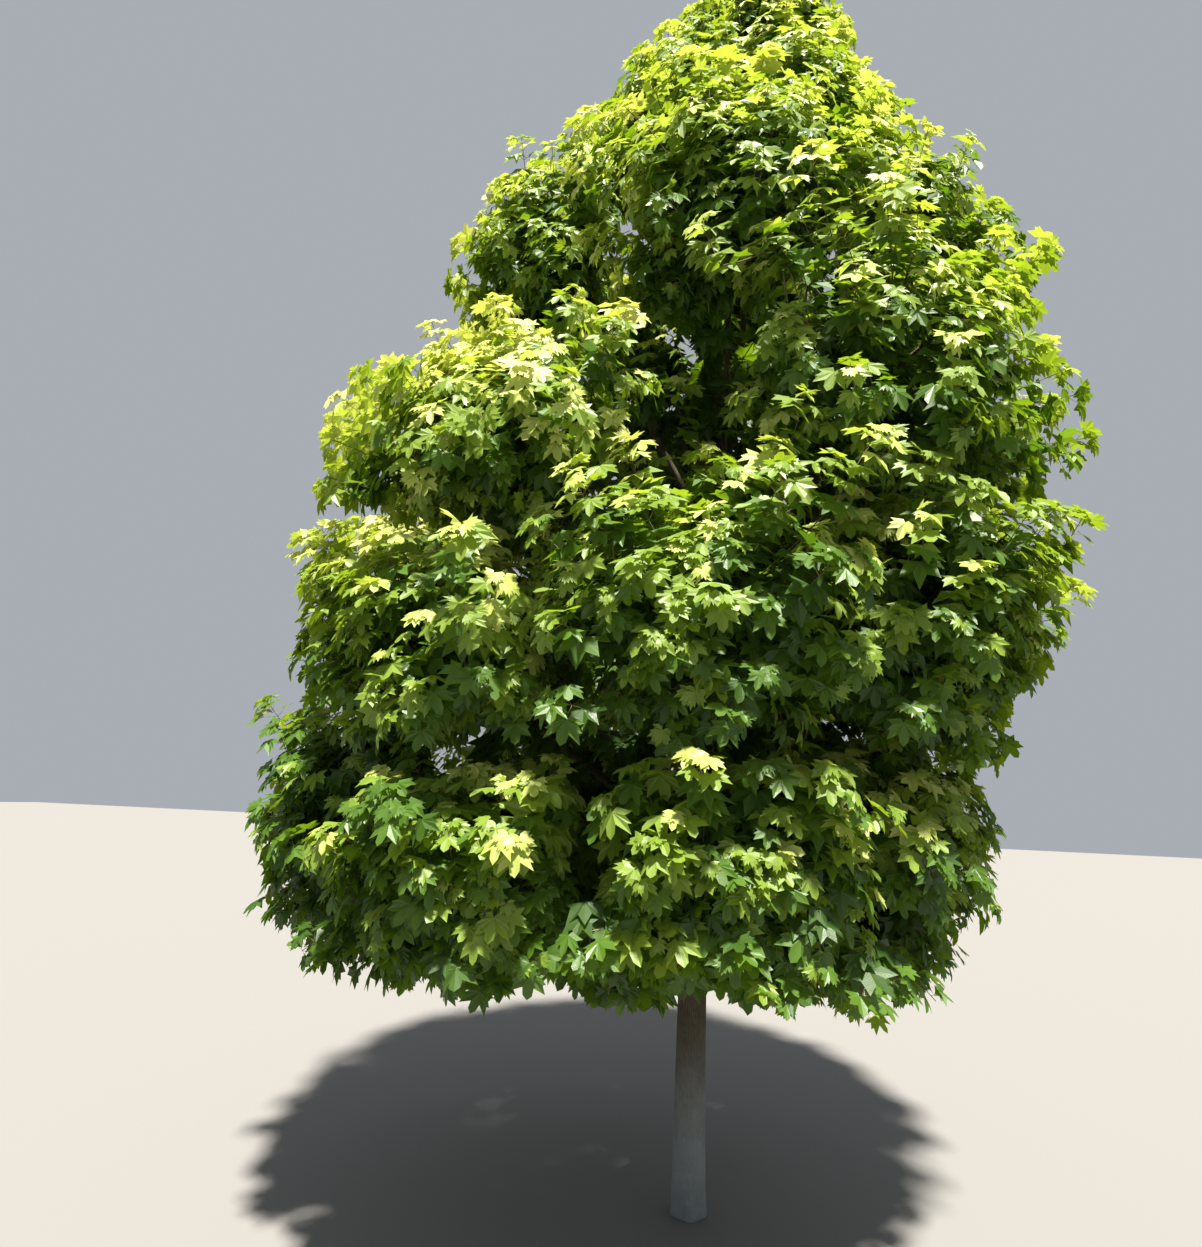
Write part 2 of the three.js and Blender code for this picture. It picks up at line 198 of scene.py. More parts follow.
def crown_value(height, column):
    """Smooth value of a column of the outline: a cubic between two rows, level with the rows' own slopes."""
    heights, values = CROWN[:, 0], CROWN[:, column]
    low = np.maximum(np.arange(len(CROWN)) - 1, 0)
    high = np.minimum(np.arange(len(CROWN)) + 1, len(CROWN) - 1)
    slopes = (values[high] - values[low]) / (heights[high] - heights[low])
    i = np.clip(np.searchsorted(heights, height) - 1, 0, len(CROWN) - 2)
    step = heights[i + 1] - heights[i]
    t = np.clip((height - heights[i]) / step, 0, 1)
    rise = t * t * (3 - 2 * t)
    bend = step * t * (1 - t) * ((1 - t) * slopes[i] - t * slopes[i + 1])
    return values[i] * (1 - rise) + values[i + 1] * rise + bend


def crown_axis(height):
    """Point of the crown's own axis at a height."""
    shift = crown_value(height, 2)
    return np.stack([shift, np.zeros_like(shift), np.asarray(height, float)], axis=-1)


def crown_radius(height):
    """Distance from the crown's axis to its outline at a height."""
    return crown_value(height, 1)


def crown_edge(points):
    """Radius of the outline at each point's height and bearing: the crown's radius x, for each dent,
    (1 - depth x exp(-(rise / spread)^2 - (turn aside / width)^2))."""
    offset = points - crown_axis(points[:, 2])
    bearing = np.arctan2(offset[:, 1], offset[:, 0])
    radius = crown_radius(points[:, 2])
    for dent in DENTS:
        turn = bearing - np.radians(dent["bearing"])
        aside = np.arctan2(np.sin(turn), np.cos(turn)) / np.radians(dent["width"])
        rise = (points[:, 2] - dent["height"]) / dent["spread"]
        radius = radius * (1 - dent["depth"] * np.exp(-rise ** 2 - aside ** 2))
    return radius


def floor_at(points):
    """Height of the lowest leaves: rises towards -Y, with waves of a sine across and a cosine along."""
    turns = 2 * np.pi * points / FLOOR_WAVELENGTH
    wave = np.sin(turns[:, 0]) * np.cos(turns[:, 1])
    return FOLIAGE_FLOOR + FLOOR_RISE * np.maximum(0, -points[:, 1]) + FLOOR_WAVE * wave


print("crown: radius at 4 m", round(float(crown_radius(4.0)), 3), "m")

# %% [markdown]
# ## The masses of foliage
#
# The boughs carry the leaves in mounds, set in tiers round the trunk: the frame has one node for each.
# A mound's space is an ellipsoid that ends at the crown's outline and half way to its neighbours, which
# is what makes dark valleys between bright mounds. The same tiers are written here again, so that the
# twigs below grow exactly where the frame's solids are.

# %% Masses: centres, own axes and half extents
# Depth is how far the centres lie inside the outline. Size is the half extent outwards, around and up.
# Fork and climb give the heights where the boughs leave the leader, places each bearing and rise.
TIERS = [
    dict(name="skirt", height=2.08, depth=0.78, size=(0.95, 1.45, 1.34), fork=1.33, climb=0.42, girth=0.025,
         places=[(-156, 0.12), (-112, -0.12), (-66, -0.06), (-18, 0.14), (48, 0.26), (116, 0.38)]),
    dict(name="lower", height=3.30, depth=0.85, size=(1.03, 1.33, 1.24), fork=1.83, climb=0.62, girth=0.030,
         places=[(-170, 0.15), (-126, -0.15), (-82, 0), (-38, 0.12), (14, 0.24), (72, 0.40), (130, 0.32)]),
    dict(name="middle", height=4.60, depth=0.86, size=(1.06, 1.50, 1.27), fork=2.60, climb=0.80, girth=0.031,
         places=[(-124, -0.26), (-50, 0.06), (22, 0.24), (94, 0.42), (166, 0.30)]),
    dict(name="upper", height=5.96, depth=0.83, size=(1.02, 1.37, 1.29), fork=3.90, climb=0.80, girth=0.026,
         places=[(-158, 0.15), (-85, -0.08), (-22, 0.08), (66, 0.36), (142, 0.28)]),
    dict(name="high", height=7.30, depth=0.73, size=(0.92, 1.18, 1.33), fork=5.25, climb=0.70, girth=0.019,
         places=[(-150, 0.16), (-28, 0), (86, 0.26)]),
]
TIP_HEIGHT = 8.60
TIP_SIZE = (1.32, 1.08, 1.08)


def laid_out_masses():
    """List of masses: each centre lies a given depth inside the crown's outline, at its own bearing."""
    masses = []
    for tier in TIERS:
        for i, (bearing, rise) in enumerate(tier["places"]):
            outward = level_way(np.radians(bearing))
            height = tier["height"] + rise
            centre = crown_axis(height) + outward * (crown_radius(height) - tier["depth"])
            fork = tier["fork"] + tier["climb"] * (((i + 0.5) * GOLDEN_RATIO) % 1)
            masses.append(dict(tier=tier["name"], name=f"{tier['name']}_{i + 1}", centre=centre,
                               axes=np.stack([outward, np.cross(UP, outward), UP]),
                               size=tier["size"], girth=tier["girth"], fork=fork))
    sideways = np.array([0.0, 1.0, 0.0])
    masses.append(dict(tier="high", name="tip", centre=crown_axis(TIP_HEIGHT), size=TIP_SIZE, girth=None,
                       axes=np.stack([UP, sideways, np.cross(UP, sideways)]), fork=None))
    return masses


masses = laid_out_masses()
CENTRES = np.stack([mass["centre"] for mass in masses])
AXES = np.stack([mass["axes"] for mass in masses])
SIZES = np.stack([mass["size"] for mass in masses])
print("masses:", len(masses))

# %% [markdown]
# ## Space, reach and core
#
# Growth needs one question answered: does a point belong to this mass? It does if it is inside the mass's
# ellipsoid and the crown's outline, nearer to this mass than to any other, and clear of the trunk. The
# reach in a direction is found by walking out in small steps until the answer is no.

# %% Whose space a point is in
NEIGHBOUR_MARGIN = 0.02
TRUNK_MARGIN = 0.04
REACH_START = 0.06
REACH_STEP = 0.02
REACH_STEPS = 75
CORE_SIDE_SHARE = 0.84
CORE_OUTER_SHARE = 0.60
CORE_INNER_SHARE = 0.35
CORE_BUMP = 0.05
CORE_WAVES = 5


def shares(points):
    """Distance of each point from every mass's centre, as a share of that mass's ellipsoid."""
    offsets = points[:, None, :] - CENTRES
    return np.linalg.norm(np.einsum("pmk,mak->pma", offsets, AXES) / SIZES, axis=-1)


def in_crown(points, grow):
    """True inside the crown's outline grown by a factor, above the lowest leaves and clear of the trunk."""
    height = points[:, 2]
    ok = (height >= floor_at(points)) & (height <= CROWN_TOP)
    ok &= np.linalg.norm(points - crown_axis(height), axis=-1) <= crown_edge(points) * grow
    gap = np.linalg.norm(points - leader_at(height), axis=-1) - trunk_radius(height)
    return ok & ((gap >= TRUNK_MARGIN) | (height >= TRUNK_TOP))


def in_space(number, points, grow=1.0):
    """True where a point is in the crown, in this mass's ellipsoid, and nearer to it than to the others."""
    every = shares(points)
    own = every[:, number].copy()
    every[:, number] = np.inf
    return in_crown(points, grow) & (own <= grow) & (own + NEIGHBOUR_MARGIN < every.min(axis=1))


def reach_of(number, directions):
    """How far the space goes from the mass's centre: the last of the equal steps still inside it."""
    steps = REACH_START + REACH_STEP * np.arange(1, REACH_STEPS)
    points = CENTRES[number] + directions[:, None, :] * steps[None, :, None]
    inside = in_space(number, points.reshape(-1, 3)).reshape(len(directions), -1)
    inside = np.concatenate([inside, np.zeros((len(directions), 1), bool)], axis=1)
    return REACH_START + REACH_STEP * np.argmin(inside, axis=1)


def core_radius(number, directions):
    """Radius of the dense core: a share of the reach, less outwards than sideways, with soft bumps."""
    outward, around, up = (directions @ AXES[number].T).T
    bumps = np.sin(CORE_WAVES * outward + number) * np.sin(CORE_WAVES * around - number)
    bumps = bumps + np.sin(CORE_WAVES * up)
    towards = np.where(outward > 0, CORE_OUTER_SHARE, CORE_INNER_SHARE)
    part = CORE_SIDE_SHARE + (towards - CORE_SIDE_SHARE) * np.abs(outward)
    return reach_of(number, directions) * part * (1 + CORE_BUMP * bumps)


def spread_directions(number, count, spread):
    """Even directions over the outer side of a mass: equal steps of the outward share, each turned on
    from the last by the golden angle, as leaves are on a stem."""
    i = np.arange(count)
    outward = 1 - spread * (i + 0.5) / count
    ring = np.sqrt(1 - outward ** 2)
    angle = i * GOLDEN_ANGLE + number
    return np.stack([outward, ring * np.cos(angle), ring * np.sin(angle)], axis=-1) @ AXES[number]


print("reach outwards of mass 0:", round(float(reach_of(0, AXES[0][:1])[0]), 3), "m")

# %% [markdown]
# ## Meshes from arrays
#
# A leaf has 8 to 36 faces and there are thousands, so nothing here is added one by one. Each kind
# of piece is worked out as whole arrays of corners and triangles, and handed to Blender in one go.
# A limb is a skin over rings of corners. All the limbs of a kind have equal numbers of rings and sides,
# so one call makes them all.

# %% Skins over rings
# The first corner of each ring is turned towards this direction, which no limb follows.
LIMB_FIRST_SIDE = np.array([0.31, 0.95, 0.02])


def skin(rings):
    """Corners and triangles over rings of corners, shape (limbs, rings, sides, 3). Each pair of rings is
    joined by two triangles a side, and each end is closed by a fan round its middle."""
    limbs, count, sides = rings.shape[:3]
    k = np.arange(sides)
    after = (k + 1) % sides
    row = np.arange(count - 1)[:, None] * sides
    low = np.stack([row + k, row + after, row + sides + after], axis=-1)
    high = np.stack([row + k, row + sides + after, row + sides + k], axis=-1)
    last = (count - 1) * sides
    foot, head = count * sides, count * sides + 1
    ends = [np.stack([np.full(sides, foot), after, k], axis=-1),
            np.stack([np.full(sides, head), last + k, last + after], axis=-1)]
    faces = np.concatenate([low.reshape(-1, 3), high.reshape(-1, 3), *ends])
    middles = rings[:, [0, -1]].mean(axis=2)
    corners = np.concatenate([rings.reshape(limbs, -1, 3), middles], axis=1)
    starts = np.arange(limbs)[:, None, None] * corners.shape[1]
    return corners.reshape(-1, 3), (faces + starts).reshape(-1, 3)


def ring_corners(paths, radii, sides):
    """Rings along paths: each corner is the path's point plus the radius times the cosine and sine of its
    turn along two directions square to the path, which are carried on from ring to ring."""
    before = np.maximum(np.arange(paths.shape[1]) - 1, 0)
    after = np.minimum(np.arange(paths.shape[1]) + 1, paths.shape[1] - 1)
    headings = unit(paths[:, after] - paths[:, before])
    side = np.broadcast_to(LIMB_FIRST_SIDE, headings[:, 0].shape)
    frames = []
    for heading in np.moveaxis(headings, 1, 0):
        side = unit(side - heading * dot(side, heading))
        frames.append(np.stack([side, np.cross(heading, side)], axis=1))
    frames = np.stack(frames, axis=1)
    turns = 2 * np.pi * np.arange(sides) / sides
    around = np.stack([np.cos(turns), np.sin(turns)], axis=-1)
    return paths[:, :, None] + radii[..., None, None] * np.einsum("sk,lrkx->lrsx", around, frames)


def bezier(start, bend, end, shares_along):
    """Points of quadratic curves: start, bend and end weighted by (1-t)^2, 2t(1-t) and t^2. The shares t
    are one row for all curves, or a row for each."""
    t = shares_along[..., None]
    return start[:, None] * (1 - t) ** 2 + bend[:, None] * 2 * t * (1 - t) + end[:, None] * t ** 2


# %% Joined meshes
def as_one(parts):
    """Corners and triangles of several parts as one, each part's corners counted on from the last."""
    starts = np.cumsum([0] + [len(corners) for corners, _ in parts[:-1]])
    return (np.concatenate([corners for corners, _ in parts]),
            np.concatenate([triangles + start for (_, triangles), start in zip(parts, starts)]))


def joined_mesh(name, corners, triangles, materials, shades=None, smooth=False, slot=None, stands_for=()):
    """Object at the origin with its place in its mesh. shades gives each triangle's material."""
    mesh = bpy.data.meshes.new(name)
    mesh.vertices.add(len(corners))
    mesh.vertices.foreach_set("co", corners.astype(np.float32).ravel())
    mesh.loops.add(triangles.size)
    mesh.loops.foreach_set("vertex_index", triangles.astype(np.int32).ravel())
    mesh.polygons.add(len(triangles))
    mesh.polygons.foreach_set("loop_start", np.arange(0, triangles.size, 3, dtype=np.int32))
    mesh.polygons.foreach_set("use_smooth", np.full(len(triangles), smooth))
    for material in materials:
        mesh.materials.append(material)
    if shades is not None:
        mesh.polygons.foreach_set("material_index", shades.astype(np.int32))
    mesh.update(calc_edges=True)
    piece = in_scene(name, mesh)
    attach(piece, "root")
    if stands_for:
        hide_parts(*stands_for)
    print(f"{name}: {len(triangles)} triangles")
    return piece


# %% [markdown]
# ## Materials from nodes
#
# One helper adds a node, sets its inputs and links others into it. Colours are written as they look on
# a screen, and one function turns them into the linear light that a shader needs. Some sockets of the
# Mix and Map Range nodes share a name, so they are counted: the names below say which is which.

# %% Node and colour helpers
SHARE, FIRST_COLOUR, SECOND_COLOUR, MIXED_COLOUR = 0, 6, 7, 2
VALUE, FROM_LOW, FROM_HIGH, TO_LOW, TO_HIGH = range(5)


def linear(hex_colour):
    """Linear RGBA of an sRGB colour: low values divided by 12.92, others raised to the power 2.4."""
    srgb = np.array([int(hex_colour[k:k + 2], 16) for k in (1, 3, 5)]) / 255
    light = np.where(srgb <= 0.04045, srgb / 12.92, ((srgb + 0.055) / 1.055) ** 2.4)
    return (*light.tolist(), 1.0)


def add_node(tree, kind, settings=None, inputs=None):
    """New node of a kind. settings are its own options; inputs are values, or sockets to link from."""
    node = tree.nodes.new(kind)
    for option, value in (settings or {}).items():
        setattr(node, option, value)
    for key, value in (inputs or {}).items():
        if isinstance(value, bpy.types.NodeSocket):
            tree.links.new(value, node.inputs[key])
        else:
            node.inputs[key].default_value = value
    return node


def new_material(name):
    """Material with an empty node tree, and the tree."""
    material = bpy.data.materials.new(name)
    material.use_nodes = True
    material.node_tree.nodes.clear()
    return material, material.node_tree


def show(tree, shader, output="ShaderNodeOutputMaterial"):
    """Makes a shader the surface that the tree puts out."""
    add_node(tree, output, inputs={"Surface": shader.outputs[0]})


# %% [markdown]
# ## Bark
#
# The bark of a young maple is a thin grey-brown skin that has begun to split into shallow furrows a
# finger's width apart. They run up the trunk, part and meet again like a stretched net. The bark is paler
# and greyer close to the ground and darker above, partly the bark's own tone and partly painted shade of
# the crown on the upper trunk and the boughs. The furrows could be painted, but their shadows are what
# shows, so they are pressed into the mesh, and the material only darkens them and adds grain.

# %% Furrowed bark
FURROWS = 21
FURROW_DEPTH = 0.0022
# The waves of the two families of lines: strength, rate along the height, rate round the trunk, start.
FURROW_WAVES = [[(2.1, 6.1, 2, 0), (1.3, 15.7, -3, 0)],
                [(1.9, 5.3, -1, 2), (1.4, 19.1, 2, 0)]]
PALE_FOOT_HEIGHT = 1.15
PALE_FOOT_FULL = 0.10
PALE_FOOT_SHARE = 0.85
GRAIN_PER_METRE = (220, 220, 28)    # strands 4.5 mm wide and 36 mm long
BLOTCHES_PER_METRE = 9              # 110 mm across


def ridge_height(turn, height):
    """Height of the bark from 0 in a furrow to 1 on a ridge. Two families of lines run up the trunk, each
    with its own slow waves; a furrow lies where the sine of either family is near nought."""
    nearest = 1.0
    for waves in FURROW_WAVES:
        line = FURROWS * turn
        for strength, along, around, start in waves:
            line = line + strength * np.sin(along * height + around * turn + start)
        nearest = np.minimum(nearest, np.abs(np.sin(line)))
    return np.sqrt(nearest)


def bark_material(name, ridge_colour, furrow_colour, foot_colour):
    """Dry cork: rough, no gloss, darker in the furrows, with fine vertical grain a few millimetres wide."""
    material, tree = new_material(name)
    place = add_node(tree, "ShaderNodeTexCoord").outputs["Object"]
    grain_place = add_node(tree, "ShaderNodeMapping", inputs={"Vector": place, "Scale": GRAIN_PER_METRE})
    grain = add_node(tree, "ShaderNodeTexNoise",
                     inputs={"Vector": grain_place.outputs[0], "Scale": 1, "Detail": 4, "Roughness": 0.65})
    blotch = add_node(tree, "ShaderNodeTexNoise",
                      inputs={"Vector": place, "Scale": BLOTCHES_PER_METRE, "Detail": 3})
    ridge = add_node(tree, "ShaderNodeAttribute", {"attribute_name": "ridge"})
    skin_colour = add_node(tree, "ShaderNodeMix", {"data_type": "RGBA"},
                           {SHARE: ridge.outputs["Fac"], FIRST_COLOUR: linear(furrow_colour),
                            SECOND_COLOUR: linear(ridge_colour)})
    height = add_node(tree, "ShaderNodeSeparateXYZ", inputs={0: place})
    foot = add_node(tree, "ShaderNodeMapRange", {"interpolation_type": "SMOOTHSTEP"},
                    {VALUE: height.outputs["Z"], FROM_LOW: PALE_FOOT_HEIGHT, FROM_HIGH: PALE_FOOT_FULL,
                     TO_LOW: 0, TO_HIGH: PALE_FOOT_SHARE})
    with_foot = add_node(tree, "ShaderNodeMix", {"data_type": "RGBA"},
                         {SHARE: foot.outputs[0], FIRST_COLOUR: skin_colour.outputs[MIXED_COLOUR],
                          SECOND_COLOUR: linear(foot_colour)})
    grain_light = add_node(tree, "ShaderNodeMapRange",
                           inputs={VALUE: grain.outputs[0], TO_LOW: 0.62, TO_HIGH: 1.38})
    blotch_light = add_node(tree, "ShaderNodeMapRange",
                            inputs={VALUE: blotch.outputs[0], TO_LOW: 0.7, TO_HIGH: 1.3})
    light = add_node(tree, "ShaderNodeMath", {"operation": "MULTIPLY"},
                     {0: grain_light.outputs[0], 1: blotch_light.outputs[0]})
    colour = add_node(tree, "ShaderNodeVectorMath", {"operation": "SCALE"},
                      {0: with_foot.outputs[MIXED_COLOUR], "Scale": light.outputs[0]})
    bump = add_node(tree, "ShaderNodeBump",
                    inputs={"Height": grain.outputs[0], "Strength": 0.5, "Distance": 0.002})
    surface = add_node(tree, "ShaderNodeBsdfPrincipled",
                       inputs={"Base Color": colour.outputs[0], "Roughness": 0.93, "Normal": bump.outputs[0],
                               "Specular IOR Level": 0.25})
    show(tree, surface)
    return material


# The skin colours of the furrowed bark are darkened partly as painted shade of the crown. The foot colour is
# the pale grey near the ground.
bark = bark_material("furrowed_bark", "#564f40", "#342e24", "#868e92")
young_bark = bark_material("smooth_young_bark", "#60574a", "#443c31", "#60574a")
print("materials:", bark.name, "and", young_bark.name)

# %% [markdown]
# ## The trunk
#
# The trunk is a surface of two parameters, the turn round it and the height. Its radius is the leader's
# own, plus the flare of the roots, which dies away within a hand's breadth of the ground, plus the
# bark's relief. Rings lie 10 mm apart where the trunk stands in the open and wider apart in the crown.

# %% Trunk surface
FLARE = 0.014
FLARE_HEIGHT = 0.110
FLARE_LOBES = 5
FLARE_TURN = 0.7
FLARE_EVENNESS = 0.6
TRUNK_SIDES = 132
OPEN_TRUNK_TOP = 1.6
OPEN_RINGS = 160
CROWN_RINGS = 110
MIDDLE_RIDGE = 0.5


def trunk_rings():
    """Rings of the trunk and the bark's ridges on them. Radius = leader's radius + flare x exp(-height /
    flare height) x (evenness + rest x cosine of five lobes) - furrow depth x (1 - ridge) x girth share."""
    heights = np.concatenate([np.linspace(0, OPEN_TRUNK_TOP, OPEN_RINGS),
                              np.linspace(OPEN_TRUNK_TOP, TRUNK_TOP, CROWN_RINGS)[1:]])
    turn, height = np.meshgrid(2 * np.pi * np.arange(TRUNK_SIDES) / TRUNK_SIDES, heights)
    lobes = FLARE_EVENNESS + (1 - FLARE_EVENNESS) * np.cos(FLARE_LOBES * turn + FLARE_TURN)
    ridge = ridge_height(turn, height)
    girth_share = trunk_radius(height) / TRUNK_FOOT_RADIUS
    radius = trunk_radius(height) + FLARE * np.exp(-height / FLARE_HEIGHT) * lobes
    radius = radius - FURROW_DEPTH * (1 - ridge) * girth_share
    return leader_at(height) + level_way(turn) * radius[..., None], ridge


def with_ridges(piece, ridges):
    """The ridge height of each corner, kept on the piece for its material."""
    attribute = piece.data.attributes.new("ridge", "FLOAT", "POINT")
    attribute.data.foreach_set("value", ridges.astype(np.float32).ravel())


trunk_points, trunk_ridges = trunk_rings()
corners, triangles = skin(trunk_points[None])
trunk = joined_mesh("trunk_bark", corners, triangles, [bark], smooth=True, slot="bark", stands_for=["trunk"])
with_ridges(trunk, np.concatenate([trunk_ridges.ravel(), [MIDDLE_RIDGE] * 2]))

# %% [markdown]
# ## Boughs
#
# Each bough leaves the trunk's axis at its fork and bends out and up to where it enters its mass: a curve
# from three points, the root, a bend and the tip. It tapers to half its girth. Inside the mass it goes
# on as a stem to the middle, thinner all the way. A collar thickens it where it leaves the trunk.

# %% Bough paths
BOUGH_ROOT_SHARE = 1.12
BOUGH_TIP_SHARE = 0.52
BOUGH_TAPER = 0.8
BOUGH_AIM = 0.55
BOUGH_BEND = 0.45
ENTRY_GAP = 0.055
BOUGH_SIDES = 14
BOUGH_RINGS = 40
STEM_RINGS = 10
STEM_SHRINK = 0.5
COLLAR = 0.6
COLLAR_LENGTH = 0.10
BOUGH_RELIEF = 0.06
BOUGH_RING_RISE = 0.05
LEADER_END_LENGTH = 0.1

stems = []
for number, mass in enumerate(masses):
    if mass["fork"] is None:
        root, entry = leader_at(TRUNK_TOP - LEADER_END_LENGTH), leader_at(TRUNK_TOP)
        bend = (root + entry) / 2
    else:
        root = leader_at(mass["fork"])
        inward = unit(root + (mass["centre"] - root) * BOUGH_AIM - mass["centre"])
        entry = mass["centre"] + inward * (core_radius(number, inward[None])[0] + ENTRY_GAP)
        bend = entry + inward * np.linalg.norm(entry - root) * BOUGH_BEND
    stems.append(dict(root=root, bend=bend, entry=entry, end=mass["centre"],
                      radius=mass["girth"] or TRUNK_TIP_RADIUS / BOUGH_TIP_SHARE))

roots, bends, entries, ends = (np.stack([stem[key] for stem in stems])
                               for key in ("root", "bend", "entry", "end"))
girths = np.array([stem["radius"] for stem in stems])[:, None]
spans = np.linalg.norm(entries - roots, axis=1)[:-1]
print("boughs span", round(float(spans.min()), 2), "to", round(float(spans.max()), 2), "m")


# %% Skins of the boughs
def bough_skins():
    """Skins of the boughs and their ridges. Radius = girth x a blend from the root share to the tip share by
    a power of the way, plus a collar that dies away from the trunk; the stem beyond shrinks to half."""
    along_bough = np.linspace(0, 1, BOUGH_RINGS)
    along_stem = np.linspace(0, 1, STEM_RINGS)[1:]
    path = bezier(roots[:-1], bends[:-1], entries[:-1], along_bough)
    stem = entries[:-1, None] + (ends - entries)[:-1, None] * along_stem[:, None]
    share = BOUGH_ROOT_SHARE + (BOUGH_TIP_SHARE - BOUGH_ROOT_SHARE) * along_bough ** BOUGH_TAPER
    travelled = np.linalg.norm(path - path[:, :1], axis=-1)
    collar = 1 + COLLAR * np.exp(-travelled / COLLAR_LENGTH)
    thinner = (BOUGH_TIP_SHARE * (1 - STEM_SHRINK * along_stem))[None].repeat(len(path), 0)
    radii = girths[:-1] * np.concatenate([share * collar, thinner], axis=1)
    path = np.concatenate([path, stem], axis=1)
    rings = ring_corners(path, radii, BOUGH_SIDES)
    turn = 2 * np.pi * np.arange(BOUGH_SIDES) / BOUGH_SIDES
    height = BOUGH_RING_RISE * np.arange(path.shape[1])[:, None] + np.arange(len(path))[:, None, None]
    ridge = ridge_height(turn, height)
    rings = path[:, :, None] + (rings - path[:, :, None]) * (1 - BOUGH_RELIEF * (1 - ridge[..., None]))
    corners, triangles = skin(rings)
    middles = np.full((len(path), 2), MIDDLE_RIDGE)
    return corners, triangles, np.concatenate([ridge.reshape(len(path), -1), middles], axis=1)


corners, triangles, ridges = bough_skins()
boughs = joined_mesh("boughs_bark", corners, triangles, [bark], smooth=True, slot="bark",
                     stands_for=["bough_" + mass["name"] for mass in masses[:-1]])
with_ridges(boughs, ridges)

# %% [markdown]
# ## Twigs and shoots
#
# Growth now goes on by the frame's own rule, two steps finer. Main twigs leave the stem of a mass and
# spread over its outer side by golden-angle steps. Each shoot, of which there are many more, takes its
# own direction by the same steps and leaves the nearest main twig. The shoots of one main twig form an
# upright mound, narrower at its top: those in its middle reach the mass's full reach, those at its rim
# stay short. One shoot in six grows up past the rest. The last stretch of a shoot, which bears the
# leaves, turns up towards the light. Lengths below are in metres, and a pair of numbers is the range of a
# seeded draw.

# %% Numbers of the main twigs
MAIN_TWIGS = 15
MAIN_SPREAD = 1.15
MAIN_REACH = 0.72
MAIN_ROOTS = (0.25, 1.0)
MAIN_PULL = 0.25
MAIN_BEND = 0.35
MAIN_SAG = 0.04
TWIG_RINGS = 6
TWIG_SIDES = 5

# %% Numbers of the shoots and their mounds
SHOOTS = 150
SHOOT_SPREAD = 1.6
SHOOT_INSET = 0.08
SHOOT_ROOTS = (0.45, 0.95)
SHOOT_BEND = 0.55
SHOOT_SAG = 0.03
WAY_SHAKE = 0.10
HEADING_SHAKE = 0.28
REACH_LUCK = (0.93, 1.03)
LEAST_REACH = 0.2
LOW_LIFT = 0.35
LIFT_GAIN = 0.5
MOUND_HALF_WIDTH = 0.34
MOUND_HALF_HEIGHT = 0.62
MOUND_POINT = 0.45
MOUND_RIM = 0.70
MOUND_TURN = 1.6
LONG_SHOOTS = 0.16
LONG_SHOOT_EXTRA = 0.36
LONG_SHOOT_LUCK = (0.3, 1)
LONG_SHOOT_NECK = 0.4
SHOOT_STRAY = 1.04
HIGH_STRAY = 0.09
HIGH_STRAY_FROM = 4.7
LEAFY_LENGTH = 0.23
SHOOT_RINGS = 4


def stray_at(points, least):
    """The factor by which shoots and leaves may stand out of the outline, larger high in the crown."""
    return least + HIGH_STRAY * np.clip(points[:, 2] - HIGH_STRAY_FROM, 0, 1)


# %% Tables with a row for each shoot
def together(tables):
    """Several tables as one. A table is a dictionary with an array for each column."""
    return {key: np.concatenate([table[key] for table in tables]) for key in tables[0]}


def picked(table, rows):
    """The chosen rows of a table."""
    return {key: column[rows] for key, column in table.items()}


